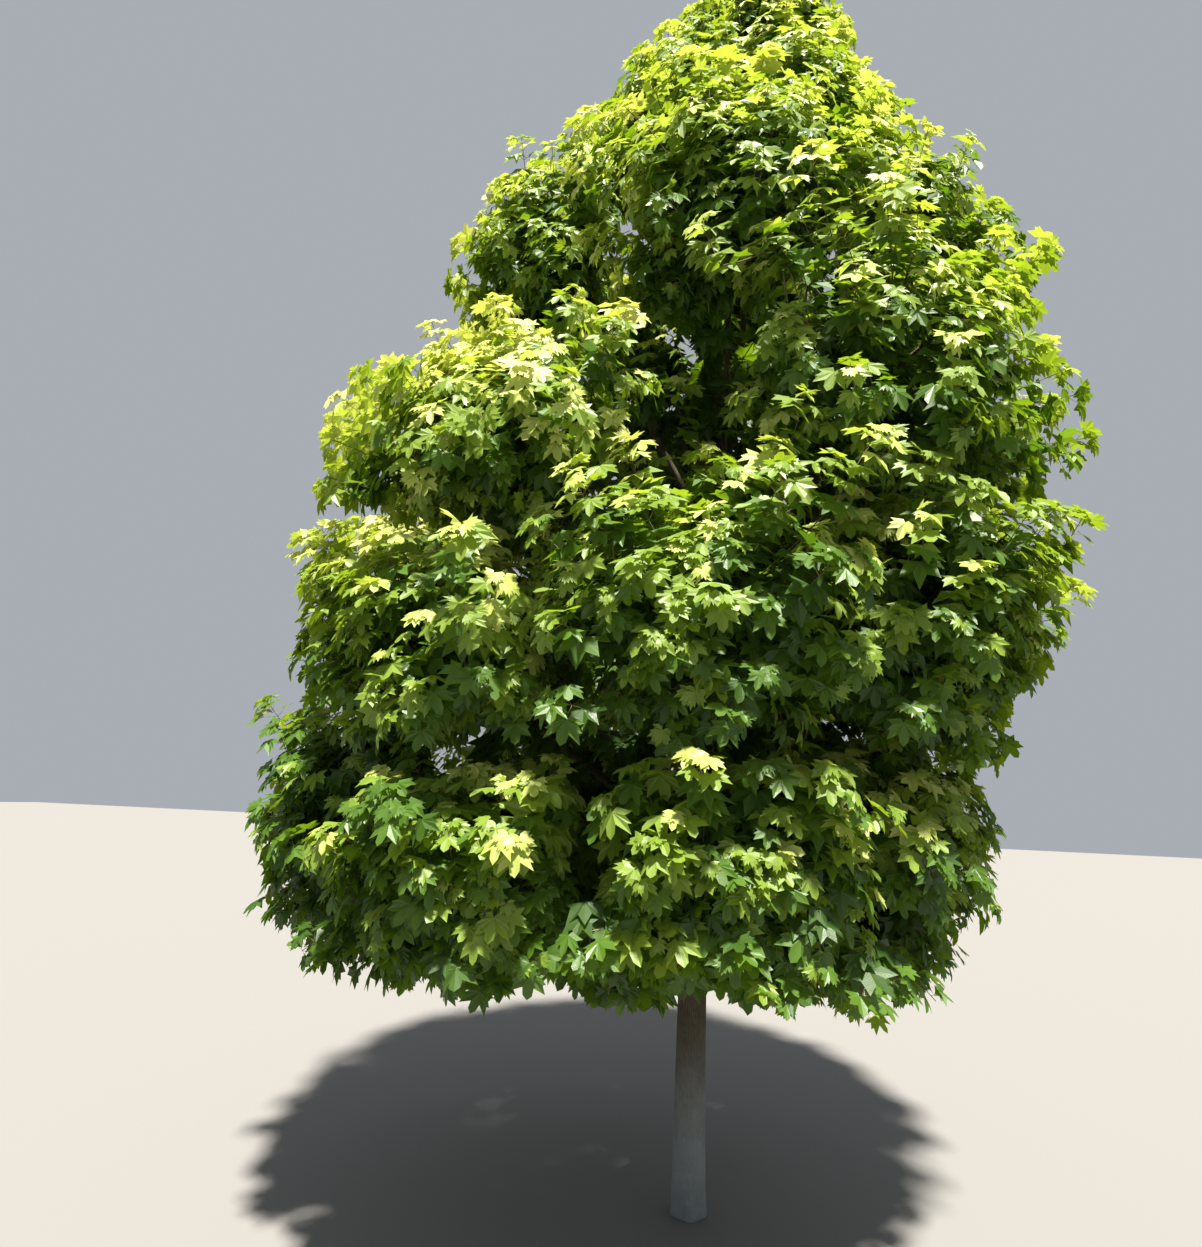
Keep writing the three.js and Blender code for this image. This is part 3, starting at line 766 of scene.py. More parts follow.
# %% Growth of one mass, and of all
def grow_mass(number):
    """Main twigs and shoots of one mass. A main twig starts on the stem and bends towards its direction.
    A shoot belongs to the main twig with the smallest measure: the square root of (aside / half width)^2 +
    (rise / half height)^2, where the half width shrinks upwards. Its share of the reach is rim + (1 - rim) x
    square root of (1 - measure^2)."""
    centre, entry = CENTRES[number], entries[number]
    main = spread_directions(number, MAIN_TWIGS, MAIN_SPREAD)
    main_ids = number * MAIN_TWIGS + np.arange(MAIN_TWIGS)
    start = entry + (centre - entry) * between(*MAIN_ROOTS, main_ids, 11)[:, None]
    end = centre + main * (MAIN_REACH * reach_of(number, main))[:, None]
    bend = start + (centre - entry) * MAIN_PULL + (end - start) * MAIN_BEND - UP * MAIN_SAG
    twig = dict(start=start, bend=bend, end=end, tip=end, lie=main, ids=main_ids,
                mass=np.full(MAIN_TWIGS, number), mound=np.zeros(MAIN_TWIGS))

    ids = number * SHOOTS + np.arange(SHOOTS)
    way = unit(spread_directions(number, SHOOTS, SHOOT_SPREAD) + shaken(ids, 21, WAY_SHAKE))
    offset = way[:, None] - main
    rise = offset[..., 2] / MOUND_HALF_HEIGHT
    half_width = MOUND_HALF_WIDTH * (1 - MOUND_POINT * np.clip(rise, -1, 1))
    aside = np.linalg.norm(offset[..., :2], axis=-1) / half_width
    measure = np.hypot(aside, rise)
    parent = np.argmin(measure, axis=1)
    mound = np.sqrt(np.clip(1 - measure.min(axis=1) ** 2, 0, 1))
    reach = reach_of(number, way) * (MOUND_RIM + (1 - MOUND_RIM) * mound) * between(*REACH_LUCK, ids, 24)
    share = between(*SHOOT_ROOTS, ids, 25)[:, None]
    root = bezier(start[parent], bend[parent], end[parent], share)[:, 0]
    lift = LOW_LIFT + LIFT_GAIN * centre[2] / CROWN_TOP
    heading = unit(way + UP * lift + shaken(ids, 26, HEADING_SHAKE))
    longer = LONG_SHOOT_EXTRA * min(1, 2 - 2 * centre[2] / CROWN_TOP) * between(*LONG_SHOOT_LUCK, ids, 28)
    longer = (longer * (chance(ids, 27) < LONG_SHOOTS))[:, None]
    inset_reach = np.maximum(reach - SHOOT_INSET, LEAST_REACH)[:, None]
    tip = centre + way * inset_reach + unit(heading + UP) * longer
    neck = tip - heading * (LEAFY_LENGTH + LONG_SHOOT_NECK * longer)
    sag = root + (neck - root) * SHOOT_BEND - UP * SHOOT_SAG
    lie = unit(way + MOUND_TURN * (way - main[parent]))
    shoot = dict(root=root, bend=sag, neck=neck, tip=tip, lie=lie, ids=ids,
                 mass=np.full(SHOOTS, number), mound=mound)
    return twig, shoot


grown = [grow_mass(number) for number in range(len(masses))]
twigs = together([twig for twig, _ in grown])
shoots = together([shoot for _, shoot in grown])
print("main twigs:", len(twigs["ids"]), "shoots of the masses:", len(shoots["ids"]))

# %% [markdown]
# ## The lower rim and the leader
#
# Two places would stay bare by the masses' rule alone. Round the underside of the crown the lowest
# shoots hang down and hide the twigs, so a fringe of them is laid just above the lowest leaves. And the
# leader bears shoots of its own: long ones where the highest boughs end, short ones in the groove.

# %% Hanging shoots along the lower rim
FRINGE_SHOOTS = 230
FRINGE_DEPTH = 0.32
FRINGE_LEVEL = 1.75
FRINGE_SHARES = (0.45, 0.95)
FRINGE_GAP = 0.05
FRINGE_ROOTS = (0.6, 1.0)
FRINGE_OUT = 0.4
FRINGE_DOWN = 0.8
FRINGE_SHAKE = 0.4
FRINGE_ARCH = 0.04
FRINGE_LIE_DOWN = 0.2
FRINGE_FIRST = 5000


def fringe():
    """Shoots that hang round the underside of the crown, just above its lowest leaves: golden-angle bearings,
    seeded distances and heights, each on the main twig whose end is nearest."""
    ids = FRINGE_FIRST + np.arange(FRINGE_SHOOTS)
    outward = level_way(np.arange(FRINGE_SHOOTS) * GOLDEN_ANGLE)
    distance = crown_radius(FRINGE_LEVEL) * np.sqrt(between(*np.square(FRINGE_SHARES), ids, 62))
    tip = crown_axis(np.full(FRINGE_SHOOTS, FRINGE_LEVEL)) + outward * distance[:, None]
    tip[:, 2] = floor_at(tip) + FRINGE_DEPTH * chance(ids, 61) ** 2 + FRINGE_GAP
    parent = np.argmin(np.linalg.norm(tip[:, None] - twigs["end"], axis=-1), axis=1)
    share = between(*FRINGE_ROOTS, ids, 25)[:, None]
    root = bezier(twigs["start"][parent], twigs["bend"][parent], twigs["end"][parent], share)[:, 0]
    heading = unit(outward * FRINGE_OUT - UP * FRINGE_DOWN + shaken(ids, 26, FRINGE_SHAKE))
    neck = tip - heading * LEAFY_LENGTH
    bend = (root + neck) / 2 + UP * FRINGE_ARCH
    lie = unit(outward - UP * FRINGE_LIE_DOWN)
    return dict(root=root, bend=bend, neck=neck, tip=tip, lie=lie, ids=ids,
                mass=twigs["mass"][parent], mound=np.zeros(FRINGE_SHOOTS))


# %% Shoots on the leader, and all shoots together
LEADER_SHOOTS = [
    dict(count=90, heights=(7.35, 8.75), reaches=(0.60, 0.96), first=7000),
    dict(count=70, heights=(3.90, 7.20), reaches=(0.20, 0.50), first=7500),
]
LEADER_ROOT_DROP = 0.6
LEADER_ROOT_TOP = TRUNK_TOP - 0.05
LEADER_LIFT = 0.8
LEADER_SAG = 0.05
LEADER_LIE_UP = 0.5


def leader_shoots(count, heights, reaches, first):
    """Shoots that leave the leader on all sides: golden-angle bearings, seeded heights and seeded reaches,
    as shares of the crown's radius. Each counts with the mass whose centre is nearest."""
    ids = first + np.arange(count)
    height = between(*heights, ids, 63)
    outward = level_way(np.arange(count) * GOLDEN_ANGLE)
    tip = crown_axis(height) + outward * (crown_radius(height) * between(*reaches, ids, 64))[:, None]
    root = leader_at(np.minimum(height - LEADER_ROOT_DROP, LEADER_ROOT_TOP))
    neck = tip - unit(outward + UP * LEADER_LIFT + shaken(ids, 26, HEADING_SHAKE)) * LEAFY_LENGTH
    bend = (root + neck) / 2 - UP * LEADER_SAG
    nearest = np.argmin(np.linalg.norm(tip[:, None] - CENTRES, axis=-1), axis=1)
    lie = unit(outward + UP * LEADER_LIE_UP)
    return dict(root=root, bend=bend, neck=neck, tip=tip, lie=lie, ids=ids, mass=nearest,
                mound=chance(ids, 65))


shoots = together([shoots, fringe(), *(leader_shoots(**row) for row in LEADER_SHOOTS)])
alive = in_crown(shoots["tip"], stray_at(shoots["tip"], SHOOT_STRAY))
alive &= in_crown(shoots["neck"], stray_at(shoots["neck"], SHOOT_STRAY))
shoots = picked(shoots, alive)
print("shoots inside the crown:", len(shoots["ids"]))

# %% [markdown]
# ## Side twigs, and a skin for every twig
#
# Short twigs also grow along the boughs, in the half light inside the crown. They could be left out, but
# then the crown would look hollow wherever the eye reaches in. Twigs could be curves with a round
# profile. Skins over rings are used instead, with three or five sides each, because there are thousands
# and each is only a few millimetres thick.

# %% Side twigs on the boughs, inside the crown
SIDE_TWIGS = 16
SIDE_TWIG_RISE = 0.35
SIDE_TWIG_LENGTHS = (0.30, 0.62)
SIDE_TWIG_ROOTS = (0.4, 1.0)
SIDE_TWIG_SAG = 0.03
SIDE_FIRST = 9000
SIDE_INSET = 0.98


def side_twigs():
    """Short leafy twigs along the outer part of each bough. Each points its own seeded way, a little up."""
    bough = np.repeat(np.arange(len(masses) - 1), SIDE_TWIGS)
    ids = SIDE_FIRST + np.arange(len(bough))
    place = between(*SIDE_TWIG_ROOTS, ids, 51)[:, None]
    root = bezier(roots[bough], bends[bough], entries[bough], place)[:, 0]
    way = unit(shaken(ids, 52, 1.0) + UP * SIDE_TWIG_RISE)
    end = root + way * between(*SIDE_TWIG_LENGTHS, ids, 56)[:, None]
    bend = (root + end) / 2 - UP * SIDE_TWIG_SAG
    side = dict(start=root, bend=bend, end=end, tip=end, lie=way, ids=ids, mass=bough,
                mound=np.zeros(len(bough)))
    return picked(side, in_crown(end, SIDE_INSET))


sides = side_twigs()
print("side twigs:", len(sides["ids"]))

# %% Skins of the twigs
TWIG_RADII = (0.011, 0.0045)
SHOOT_RADII = (0.005, 0.002)
SIDE_RADII = (0.006, 0.003)
SHOOT_SIDES = 3


def tapered_skins(paths, radii, sides):
    """Skins along the paths whose radius shrinks evenly from the first value to the second."""
    return skin(ring_corners(paths, np.linspace(*radii, paths.shape[1]), sides))


twig_paths = bezier(twigs["start"], twigs["bend"], twigs["end"], np.linspace(0, 1, TWIG_RINGS))
side_paths = bezier(sides["start"], sides["bend"], sides["end"], np.linspace(0, 1, SHOOT_RINGS))
shoot_paths = bezier(shoots["root"], shoots["bend"], shoots["neck"], np.linspace(0, 1, SHOOT_RINGS))
shoot_paths = np.concatenate([shoot_paths, shoots["tip"][:, None]], axis=1)
corners, triangles = as_one([tapered_skins(twig_paths, TWIG_RADII, TWIG_SIDES),
                             tapered_skins(shoot_paths, SHOOT_RADII, SHOOT_SIDES),
                             tapered_skins(side_paths, SIDE_RADII, SHOOT_SIDES)])
twig_piece = joined_mesh("twigs", corners, triangles, [young_bark], smooth=True, slot="bark")
with_ridges(twig_piece, np.ones(len(corners)))

# %% [markdown]
# ## One maple leaf
#
# The leaf has five lobes that spread from the end of its stalk like the fingers of a hand, each with
# pointed teeth, and round bays between them. Its outline is given as turns and radii for one half,
# and mirrored. A point on each of the five main veins lets every lobe fold along its vein, which is what
# catches the light. Three simple bends give each leaf its own shape: it droops towards its tip, its two
# halves hang, and its rim waves. Only the leaves at the shoots' tips need all the teeth. Behind them two
# simpler outlines do, one with the main teeth and one with the lobes alone.

# %% Outline, veins and faces of a unit leaf
HALF_OUTLINE = [(152, 0.26), (126, 0.52), (102, 0.80), (92, 0.60), (79, 0.54), (68, 0.84), (59, 0.72),
                (47, 1.04), (38, 0.72), (32, 0.83), (25, 0.58), (15, 0.87), (8, 0.76)]
VEINS = [(98, 0.38), (47, 0.52), (0, 0.56), (-47, 0.52), (-98, 0.38)]
LOBE_STARTS = [0, 4, 10, 16, 22, 26]
TOOTHED_HALF_OUTLINE = [(150, 0.27), (102, 0.79), (79, 0.54), (67, 0.83), (59, 0.73), (47, 1.04), (25, 0.58),
                        (14, 0.85)]
PLAIN_HALF_OUTLINE = [(103, 0.76), (78, 0.55), (47, 1.0), (25, 0.58)]


def polar(points):
    """Turn in degrees from the tip's direction and radius, as x across and y along the leaf."""
    turn, radius = np.radians([p[0] for p in points]), np.array([p[1] for p in points])
    return np.stack([radius * np.sin(turn), radius * np.cos(turn)], axis=-1)


def mirrored(half):
    """Whole outline from the right foot over the tip to the left foot."""
    return half + [(0, 1.0)] + [(-turn, radius) for turn, radius in reversed(half)]


def lobed_leaf():
    """Corners and triangles of the leaf: the stalk's end, five vein points, then the outline. In each
    lobe two triangles reach from the stalk's end to the vein point, and a fan spreads from there."""
    corners = np.concatenate([[[0, 0]], polar(VEINS), polar(mirrored(HALF_OUTLINE))])
    faces = []
    for lobe in range(5):
        vein, first, last = 1 + lobe, 6 + LOBE_STARTS[lobe], 6 + LOBE_STARTS[lobe + 1]
        faces += [(0, first, vein), (0, vein, last)]
        faces += [(vein, i, i + 1) for i in range(first, last)]
    return corners, np.array(faces)


def fan_leaf(half):
    """A simpler leaf without vein points: a fan from the stalk's end over the outline."""
    corners = np.concatenate([[[0, 0]], polar(mirrored(half))])
    return corners, np.array([(0, i, i + 1) for i in range(1, len(corners) - 1)])


LOBED_LEAF = lobed_leaf()
TOOTHED_LEAF = fan_leaf(TOOTHED_HALF_OUTLINE)
PLAIN_LEAF = fan_leaf(PLAIN_HALF_OUTLINE)
print("triangles of a leaf:", len(LOBED_LEAF[1]), len(TOOTHED_LEAF[1]), len(PLAIN_LEAF[1]))

# %% [markdown]
# ## Leaves on the shoots
#
# A maple's leaves stand in pairs, each pair turned a quarter from the next, closer together towards the
# tip. The stalks are long, so that each leaf finds its own light, and the blades hang from them. On the
# side of the crown they hang steeply, like shingles, and on top of a mound they lie flatter.

# %% Rows of leaves
LEAF_LENGTH = 0.075
# Lengths back from the tip, blade sizes as shares of the leaf length, stalk lengths, label of the draws.
LEAF_ROWS = {
    "shoot tips": dict(back=[0.004], sizes=[0.80], stalks=[0.030], channel=0),
    "next to the tips": dict(back=[0.030, 0.070, 0.120], sizes=[1.00, 1.14, 1.20],
                             stalks=[0.050, 0.070, 0.085], channel=1),
    "further in": dict(back=[0.18, 0.25, 0.34], sizes=[1.38], stalks=[0.02], channel=2),
    "main twigs": dict(back=[0.02, 0.08, 0.14, 0.20, 0.27, 0.34, 0.42, 0.50, 0.60, 0.70], sizes=[1.5],
                       stalks=[0.02], channel=9),
    "side twigs": dict(back=[0.01, 0.05, 0.10, 0.15, 0.21, 0.27], sizes=[1.55], stalks=[0.02], channel=13),
}
LOW_LEAF_SIZE = 1.09
LEAF_SHRINK = 0.20
LEAF_STRAY = 1.07
IDS_PER_BEARER = 40
IDS_PER_CHANNEL = 7
# Seeded turn of a leaf round its shoot, and its seeded shares of the blade's and the stalk's length.
PAIR_TURN = (-0.4, 0.4)
BLADE_LUCK = (0.75, 1.2)
STALK_LUCK = (0.8, 1.25)
# How much a stalk follows the shoot, the sky and chance.
STALK_ALONG = 0.45
STALK_UP = 0.25
STALK_SHAKE = 0.2
# How steeply a blade hangs at the crown's side, how much less on top of a mound, and its seeded part.
SIDE_HANG = 0.90
TOP_HANG = 0.70
HANG_LUCK = (-0.45, 0.45)
# How much a midrib and a face follow the shoot's side, the spray's lie, the way out, the sky and chance.
MIDRIB_RADIAL = 0.75
MIDRIB_WAY = 0.7
MIDRIB_OUT = 0.35
FACE_WAY = 0.8
FACE_UP = 0.95
FACE_OUT = 0.3
FACE_SHAKE = 0.5
LOWEST_LIE = -0.3
LEAST_OFFSET = 0.2
NEARLY_UP = UP + 0.01               # never along a shoot, so that its cross product has a length
WHOLE_PATH = 0.98


def points_back(paths, back):
    """Points a given length back from the end of each path, along its straight stretches."""
    steps = np.linalg.norm(np.diff(paths, axis=1), axis=-1)
    from_tip = np.concatenate([np.zeros((len(paths), 1)), np.cumsum(steps[:, ::-1], axis=1)], axis=1)
    reverse = paths[:, ::-1]
    wanted = np.minimum(np.broadcast_to(back, (len(paths), len(back))), from_tip[:, -1:] * WHOLE_PATH)
    i = np.clip((wanted[:, :, None] >= from_tip[:, None, :]).sum(axis=-1) - 1, 0, steps.shape[1] - 1)
    row = np.arange(len(paths))[:, None]
    part = (wanted - from_tip[row, i]) / (from_tip[row, i + 1] - from_tip[row, i])
    near, far = reverse[row, i], reverse[row, i + 1]
    return near + (far - near) * part[..., None], unit(near - far)


# %% How each leaf lies
def lay_leaves(bearers, paths, back, sizes, stalks, channel):
    """Leaves in pairs at given lengths back from the tips of their bearers. A stalk goes out from the shoot
    and a little on and up; the blade's midrib goes out, away from the trunk and down; its face looks up
    and out."""
    nodes, axes = points_back(paths, back)
    count = len(back)
    pair = np.arange(count)
    sizes, stalks = np.array(sizes), np.array(stalks)
    first_id = bearers["ids"][:, None, None] * IDS_PER_BEARER + channel * IDS_PER_CHANNEL
    ids = first_id + pair[:, None] * 2 + np.arange(2)
    heading = axes[:, :, None]
    first = unit(np.cross(heading, NEARLY_UP))
    second = np.cross(heading, first)
    turn = pair[:, None] * np.pi / 2 + np.arange(2) * np.pi + between(*PAIR_TURN, ids, 3)
    turn = (turn + 2 * np.pi * chance(bearers["ids"], 5)[:, None, None])[..., None]
    radial = first * np.cos(turn) + second * np.sin(turn)

    way = bearers["lie"][:, None, None]
    outward = CENTRES[bearers["mass"]] - leader_at(CENTRES[bearers["mass"], 2])
    outward = outward[:, None, None] * [1, 1, 0]
    outward = outward / np.maximum(np.linalg.norm(outward, axis=-1, keepdims=True), LEAST_OFFSET)
    stalk_way = unit(radial + heading * STALK_ALONG + UP * STALK_UP + shaken(ids, 31, STALK_SHAKE))
    height_share = bearers["tip"][:, 2] / CROWN_TOP
    scale = LEAF_LENGTH * sizes[:, None] * between(*BLADE_LUCK, ids, 7)
    scale = scale * (LOW_LEAF_SIZE - LEAF_SHRINK * height_share)[:, None, None]
    foot = nodes[:, :, None] + stalk_way * (stalks[:, None] * between(*STALK_LUCK, ids, 8))[..., None]

    steepness = SIDE_HANG - TOP_HANG * np.clip(way[..., 2:], LOWEST_LIE, 1)
    steepness = steepness + between(*HANG_LUCK, ids, 9)[..., None]
    sideways = (way * [1, 1, 0]) * MIDRIB_WAY + outward * MIDRIB_OUT
    midrib = unit(radial * MIDRIB_RADIAL + sideways - UP * steepness)
    face = way * FACE_WAY + UP * FACE_UP + outward * FACE_OUT + shaken(ids, 35, FACE_SHAKE)
    face = unit(face - midrib * dot(face, midrib))
    across = np.cross(midrib, face)

    tips = foot + midrib * scale[..., None]
    ends, starts = tips.reshape(-1, 3), foot.reshape(-1, 3)
    keep = in_crown(ends, stray_at(ends, LEAF_STRAY)) & in_crown(starts, stray_at(starts, LEAF_STRAY))
    bearer = np.broadcast_to(np.arange(len(nodes))[:, None, None], ids.shape)
    youth = np.broadcast_to((1 - pair / count)[:, None], ids.shape)
    flat = dict(node=np.broadcast_to(nodes[:, :, None], foot.shape), foot=foot, midrib=midrib, face=face,
                across=across, scale=scale, ids=ids, youth=youth, mass=bearers["mass"][bearer],
                spray=bearers["ids"][bearer], way=bearers["lie"][bearer], mound=bearers["mound"][bearer],
                height=bearers["tip"][bearer][..., 2])
    return {key: value.reshape(-1, *value.shape[3:])[keep] for key, value in flat.items()}


# %% All leaves
tip_leaves = lay_leaves(shoots, shoot_paths, **LEAF_ROWS["shoot tips"])
next_leaves = lay_leaves(shoots, shoot_paths, **LEAF_ROWS["next to the tips"])
inner_leaves = together([lay_leaves(shoots, shoot_paths, **LEAF_ROWS["further in"]),
                         lay_leaves(twigs, twig_paths, **LEAF_ROWS["main twigs"]),
                         lay_leaves(sides, side_paths, **LEAF_ROWS["side twigs"])])
print("leaves:", len(tip_leaves["ids"]), "at the tips,", len(next_leaves["ids"]), "next to them and",
      len(inner_leaves["ids"]), "inside")

# %% Blades as arrays
DROOP = (0.10, 0.60)
HALVES_HANG = (-0.10, 0.60)
RIM_WAVE = (0.04, 0.13)
RIM_WAVES = 4
WAVE_START = 6.28
TILT = 0.10
VEIN_SINK = 0.05


def blades(leaves, template):
    """Corners and triangles of many leaves. Height over the flat leaf = - droop x y^2 - hang x x^2 +
    wave x radius x sine of four turns round the rim + tilt x x, and the vein points are sunk a little."""
    flat, faces = template
    x, y = flat.T
    radius, turn = np.hypot(x, y), np.arctan2(x, y)
    ids = leaves["ids"][:, None]
    height = -between(*DROOP, ids, 12) * y * np.abs(y) - between(*HALVES_HANG, ids, 13) * x * x
    wave = np.sin(RIM_WAVES * turn + WAVE_START * chance(ids, 15))
    height = height + between(*RIM_WAVE, ids, 14) * radius * wave
    height = height + TILT * (chance(ids, 16) - 0.5) * x
    if template is LOBED_LEAF:
        height[:, 1:6] -= VEIN_SINK
    size = leaves["scale"][:, None, None]
    corners = leaves["foot"][:, None] + size * (x[:, None] * leaves["across"][:, None]
                                                + y[:, None] * leaves["midrib"][:, None]
                                                + height[..., None] * leaves["face"][:, None])
    starts = np.arange(len(corners))[:, None, None] * len(flat)
    return corners.reshape(-1, 3), (faces + starts).reshape(-1, 3)


# %% [markdown]
# ## Leaf surface
#
# A maple leaf is a thin, slightly leathery sheet. Its waxy skin gives a soft gloss at a low angle,
# and light that falls on one side comes through as a warmer, yellower green. So each material mixes a
# plain glossy surface with a translucent one. The colour changes from spray to spray. Young shoots are a
# yellower green of their own, but most of the change is painted light and shade: pale yellow-green where
# sprays sit high, face up or top a mound, as painted sunlight, whitened in the two palest colours as a
# painted sheen, and deeper, bluer green low down and inside, as painted shade. Each colour is a plain
# material of its own, and a leaf gets one of the five by where its spray sits.

# %% Leaf materials
# From darkest to palest: the first two colours are painted shade and the last two painted sunlight with a
# whitish painted sheen, though the palest also holds the yellower green of young shoots.
LEAF_SHADES = {
    "deep": ("#38541c", "#648a14"),
    "shade": ("#4b6b20", "#82a418"),
    "middle": ("#778f33", "#a1bb24"),
    "sunlit": ("#b4be66", "#c0d240"),
    "young_sunlit": ("#cacb84", "#ccd656"),
}
THROUGH_LIGHT = 0.36
GLOSS_PATCHES_PER_METRE = 35        # 29 mm across
LEATHER_CELLS_PER_METRE = 160       # 6 mm across


def leaf_material(name, colour, through_colour):
    """Waxy leaf: gloss from a roughness that varies over a few centimetres, a leathery bump of 6 mm
    cells, and the light that comes through, mixed in at a fixed share."""
    material, tree = new_material(name)
    place = add_node(tree, "ShaderNodeTexCoord").outputs["Object"]
    patches = add_node(tree, "ShaderNodeTexNoise",
                       inputs={"Vector": place, "Scale": GLOSS_PATCHES_PER_METRE, "Detail": 2})
    roughness = add_node(tree, "ShaderNodeMapRange",
                         inputs={VALUE: patches.outputs[0], TO_LOW: 0.33, TO_HIGH: 0.55})
    cells = add_node(tree, "ShaderNodeTexNoise",
                     inputs={"Vector": place, "Scale": LEATHER_CELLS_PER_METRE, "Detail": 1})
    bump = add_node(tree, "ShaderNodeBump",
                    inputs={"Height": cells.outputs[0], "Strength": 0.25, "Distance": 0.003})
    skin_side = add_node(tree, "ShaderNodeBsdfPrincipled",
                         inputs={"Base Color": linear(colour), "Roughness": roughness.outputs[0],
                                 "Normal": bump.outputs[0], "IOR": 1.42, "Specular IOR Level": 0.65})
    through = add_node(tree, "ShaderNodeBsdfTranslucent",
                       inputs={"Color": linear(through_colour), "Normal": bump.outputs[0]})
    both = add_node(tree, "ShaderNodeMixShader",
                    inputs={0: THROUGH_LIGHT, 1: skin_side.outputs[0], 2: through.outputs[0]})
    show(tree, both)
    return material


shade_materials = [leaf_material("waxy_leaf_" + name, *pair) for name, pair in LEAF_SHADES.items()]
print("materials:", ", ".join(material.name for material in shade_materials))

# %% Which leaf gets which colour
# The most that each thing adds to a leaf's score, and the score at which the second colour starts.
SCORE = dict(height=1.5, lie=0.8, mound=0.7, youth=0.8, spray=1.5, leaf=0.7, mass=1.1, side=0.9)
SCORE_START = 1.15
# The mass channel is chosen so that the middle mass at the front left draws a high share and comes out pale,
# as if sunlit: painted light.
MASS_CHANNEL = 119
# Leaves high on the side of the low, wide bough, towards -X, are paler as if sunlit: painted light.
PAINTED_LIGHT_SIDE_WIDTH = 1.1
PAINTED_LIGHT_SIDE_FROM = 3.2
PAINTED_LIGHT_SIDE_RISE = 1.2


def shade_of(leaves, lift):
    """Number of each leaf's material: higher with the spray's height, its upward lie and its place on the
    mound, which is painted sunlight, with the leaf's youth and luck and the mass's seeded share, and on the
    side of the low, wide bough, where paler leaves are painted light."""
    score = SCORE["height"] * leaves["height"] / CROWN_TOP + SCORE["lie"] * leaves["way"][:, 2]
    score = score + SCORE["mound"] * leaves["mound"]
    score = score + SCORE["youth"] * leaves["youth"]
    score = score + SCORE["spray"] * chance(leaves["spray"], 41) + SCORE["leaf"] * chance(leaves["ids"], 42)
    score = score + SCORE["mass"] * chance(leaves["mass"], MASS_CHANNEL)
    across, _, height = leaves["foot"].T
    left = np.clip(-across / PAINTED_LIGHT_SIDE_WIDTH, 0, 1)
    raised = np.clip((height - PAINTED_LIGHT_SIDE_FROM) / PAINTED_LIGHT_SIDE_RISE, 0, 1)
    score = score + SCORE["side"] * (left * raised)
    return np.clip(np.floor(score - SCORE_START + lift), 0, len(LEAF_SHADES) - 1).astype(int)


# %% Leaf pieces, tier by tier
# Inside leaves' scores are lifted by this negative amount, so they take darker colours: painted shade.
INSIDE_PAINTED_SHADE = -1.2
mass_tiers = np.array([mass["tier"] for mass in masses])


def leaf_piece(name, tiers, groups, lift, stands_for=()):
    """One joined piece from the leaves of some tiers. groups pairs sets of leaves with their template."""
    parts, shades = [], []
    for leaves, template in groups:
        leaves = picked(leaves, np.isin(mass_tiers[leaves["mass"]], tiers))
        parts.append(blades(leaves, template))
        shades.append(shade_of(leaves, lift).repeat(len(template[1])))
    joined_mesh(name, *as_one(parts), shade_materials, shades=np.concatenate(shades), slot="leaf",
                stands_for=stands_for)


outer_groups = [(tip_leaves, LOBED_LEAF), (next_leaves, TOOTHED_LEAF)]
for tier in dict.fromkeys(mass_tiers):
    leaf_piece("leaves_" + tier, [tier], outer_groups, 0,
               ["foliage_" + mass["name"] for mass in masses if mass["tier"] == tier])
leaf_piece("leaves_inside_low", ["skirt", "lower"], [(inner_leaves, PLAIN_LEAF)], INSIDE_PAINTED_SHADE)
leaf_piece("leaves_inside_high", ["middle", "upper", "high"], [(inner_leaves, PLAIN_LEAF)], INSIDE_PAINTED_SHADE)

# %% [markdown]
# ## Leaf stalks
#
# Each blade hangs from a stalk about as long as itself, thin, smooth and yellow-green with a red flush.
# At this size a slim three-sided spike is enough: its broad end is sunk into the shoot and its point
# into the blade.

# %% Stalks
STALK_RADIUS = 0.0016
STALK_GREEN = "#8a9a3c"
STALK_RED = "#8f5f3a"
FLUSHES_PER_METRE = 12              # one every 83 mm


def spikes(start, end, radius):
    """Slim closed spikes: three corners round the start and one at the end, four triangles each."""
    heading = unit(end - start)
    side = unit(np.cross(heading, LIMB_FIRST_SIDE))
    other = np.cross(heading, side)
    turns = 2 * np.pi * np.arange(3) / 3
    around = side[:, None] * np.cos(turns)[:, None] + other[:, None] * np.sin(turns)[:, None]
    corners = np.concatenate([start[:, None] + radius * around, end[:, None]], axis=1)
    faces = np.array([(0, 1, 3), (1, 2, 3), (2, 0, 3), (2, 1, 0)])
    starts = np.arange(len(corners))[:, None, None] * 4
    return corners.reshape(-1, 3), (faces + starts).reshape(-1, 3)


def stalk_material():
    """Smooth green stem skin with a slight gloss and a red flush that comes and goes along it."""
    material, tree = new_material("leaf_stalk_skin")
    place = add_node(tree, "ShaderNodeTexCoord").outputs["Object"]
    flush = add_node(tree, "ShaderNodeTexNoise",
                     inputs={"Vector": place, "Scale": FLUSHES_PER_METRE, "Detail": 1})
    colour = add_node(tree, "ShaderNodeMix", {"data_type": "RGBA"},
                      {SHARE: flush.outputs[0], FIRST_COLOUR: linear(STALK_GREEN),
                       SECOND_COLOUR: linear(STALK_RED)})
    surface = add_node(tree, "ShaderNodeBsdfPrincipled",
                       inputs={"Base Color": colour.outputs[MIXED_COLOUR], "Roughness": 0.5})
    show(tree, surface)
    return material


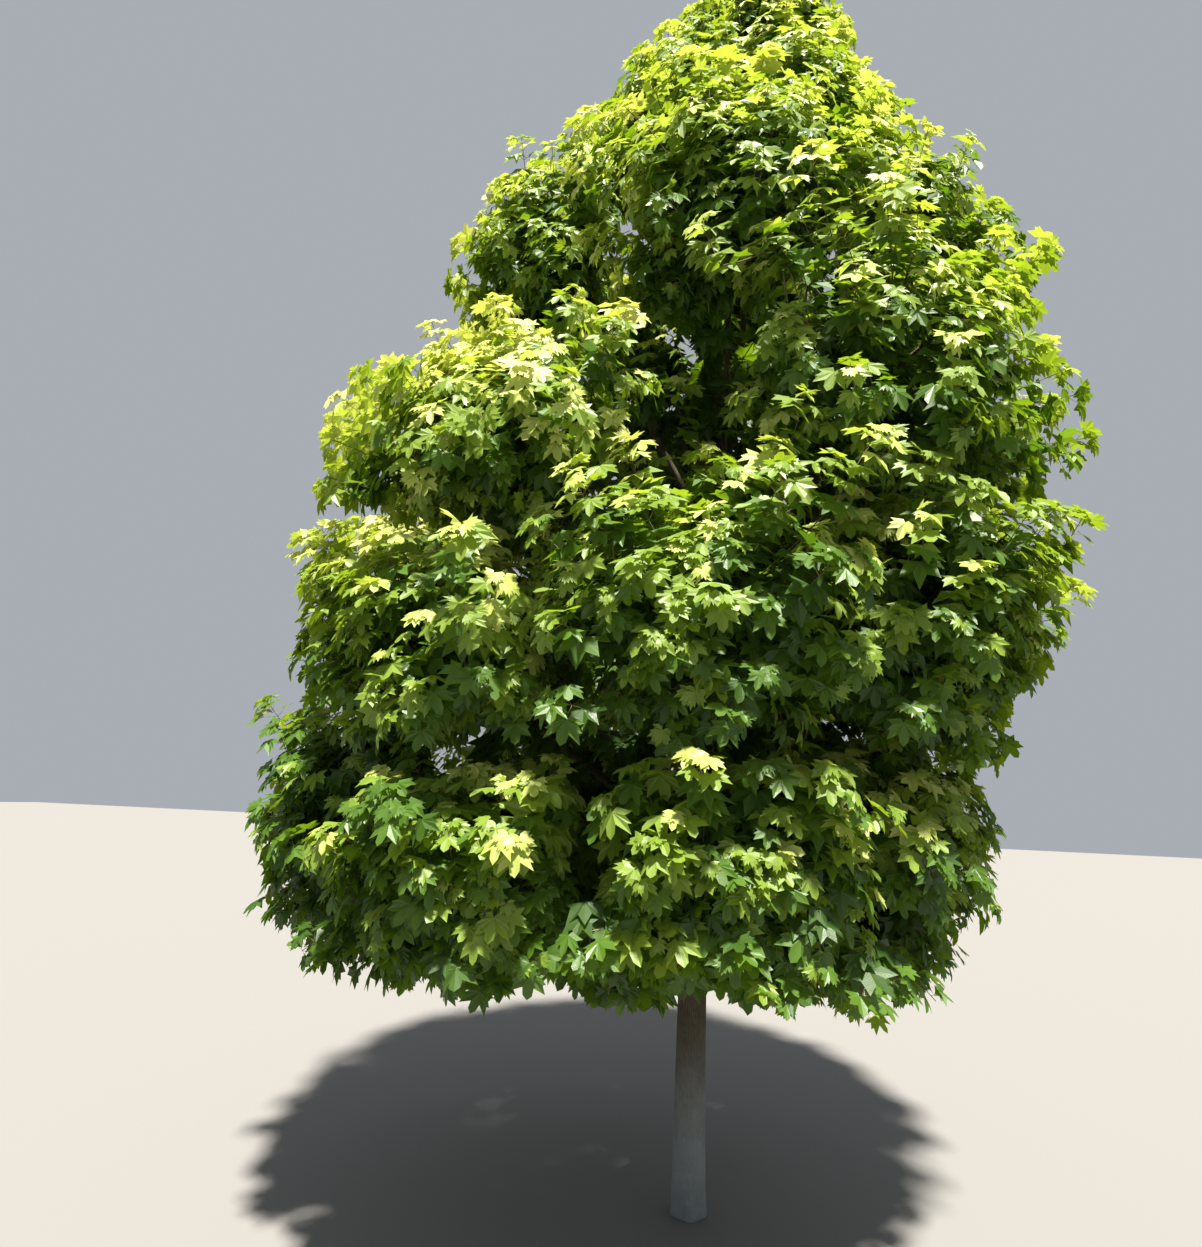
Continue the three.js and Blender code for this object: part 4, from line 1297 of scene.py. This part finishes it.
outer_leaves = together([tip_leaves, next_leaves])
corners, triangles = spikes(outer_leaves["node"], outer_leaves["foot"], STALK_RADIUS)
joined_mesh("leaf_stalks", corners, triangles, [stalk_material()], slot="leaf")

# %% [markdown]
# ## Floor and light
#
# The tree stands on a plain pale floor. A broad lamp high behind the camera and a little to the right
# stands for the sun, soft at the edges of its shadows, and a pale room fills the shade.

# %% Floor, sun and room
FLOOR_SIZE = 120.0
SUN_BEARING = np.radians(-74)
SUN_HEIGHT = np.radians(64)
SUN_STRENGTH = 13.2
SUN_WIDTH = np.radians(4)
SUN_COLOUR = (1.0, 0.96, 0.88)
FLOOR_COLOUR = "#7b7976"
ROOM_COLOUR = "#d4dae2"
ROOM_STRENGTH = 0.60

floor_mesh = bpy.data.meshes.new("floor")
half = FLOOR_SIZE / 2
floor_mesh.from_pydata([(-half, -half, 0), (half, -half, 0), (half, half, 0), (-half, half, 0)], [],
                       [(0, 1, 2, 3)])
in_scene("floor", floor_mesh)
floor_material, floor_tree = new_material("pale_matte_floor")
show(floor_tree, add_node(floor_tree, "ShaderNodeBsdfPrincipled",
                          inputs={"Base Color": linear(FLOOR_COLOUR), "Roughness": 0.9}))
floor_mesh.materials.append(floor_material)

sun_data = bpy.data.lights.new("sun", "SUN")
sun_data.energy = SUN_STRENGTH
sun_data.angle = SUN_WIDTH
sun_data.color = SUN_COLOUR
sun = in_scene("sun", sun_data)
sun_way = np.array([np.cos(SUN_BEARING) * np.cos(SUN_HEIGHT), np.sin(SUN_BEARING) * np.cos(SUN_HEIGHT),
                    np.sin(SUN_HEIGHT)])
sun_side = unit(np.cross(UP, sun_way))
sun.matrix_world = Matrix(np.stack([sun_side, np.cross(sun_way, sun_side), sun_way], 1)).to_4x4()

room = bpy.data.worlds.new("pale_room")
room.use_nodes = True
room.node_tree.nodes.clear()
room_light = add_node(room.node_tree, "ShaderNodeBackground",
                      inputs={"Color": linear(ROOM_COLOUR), "Strength": ROOM_STRENGTH})
show(room.node_tree, room_light, "ShaderNodeOutputWorld")
bpy.context.scene.world = room
bpy.context.scene.view_settings.view_transform = "Standard"
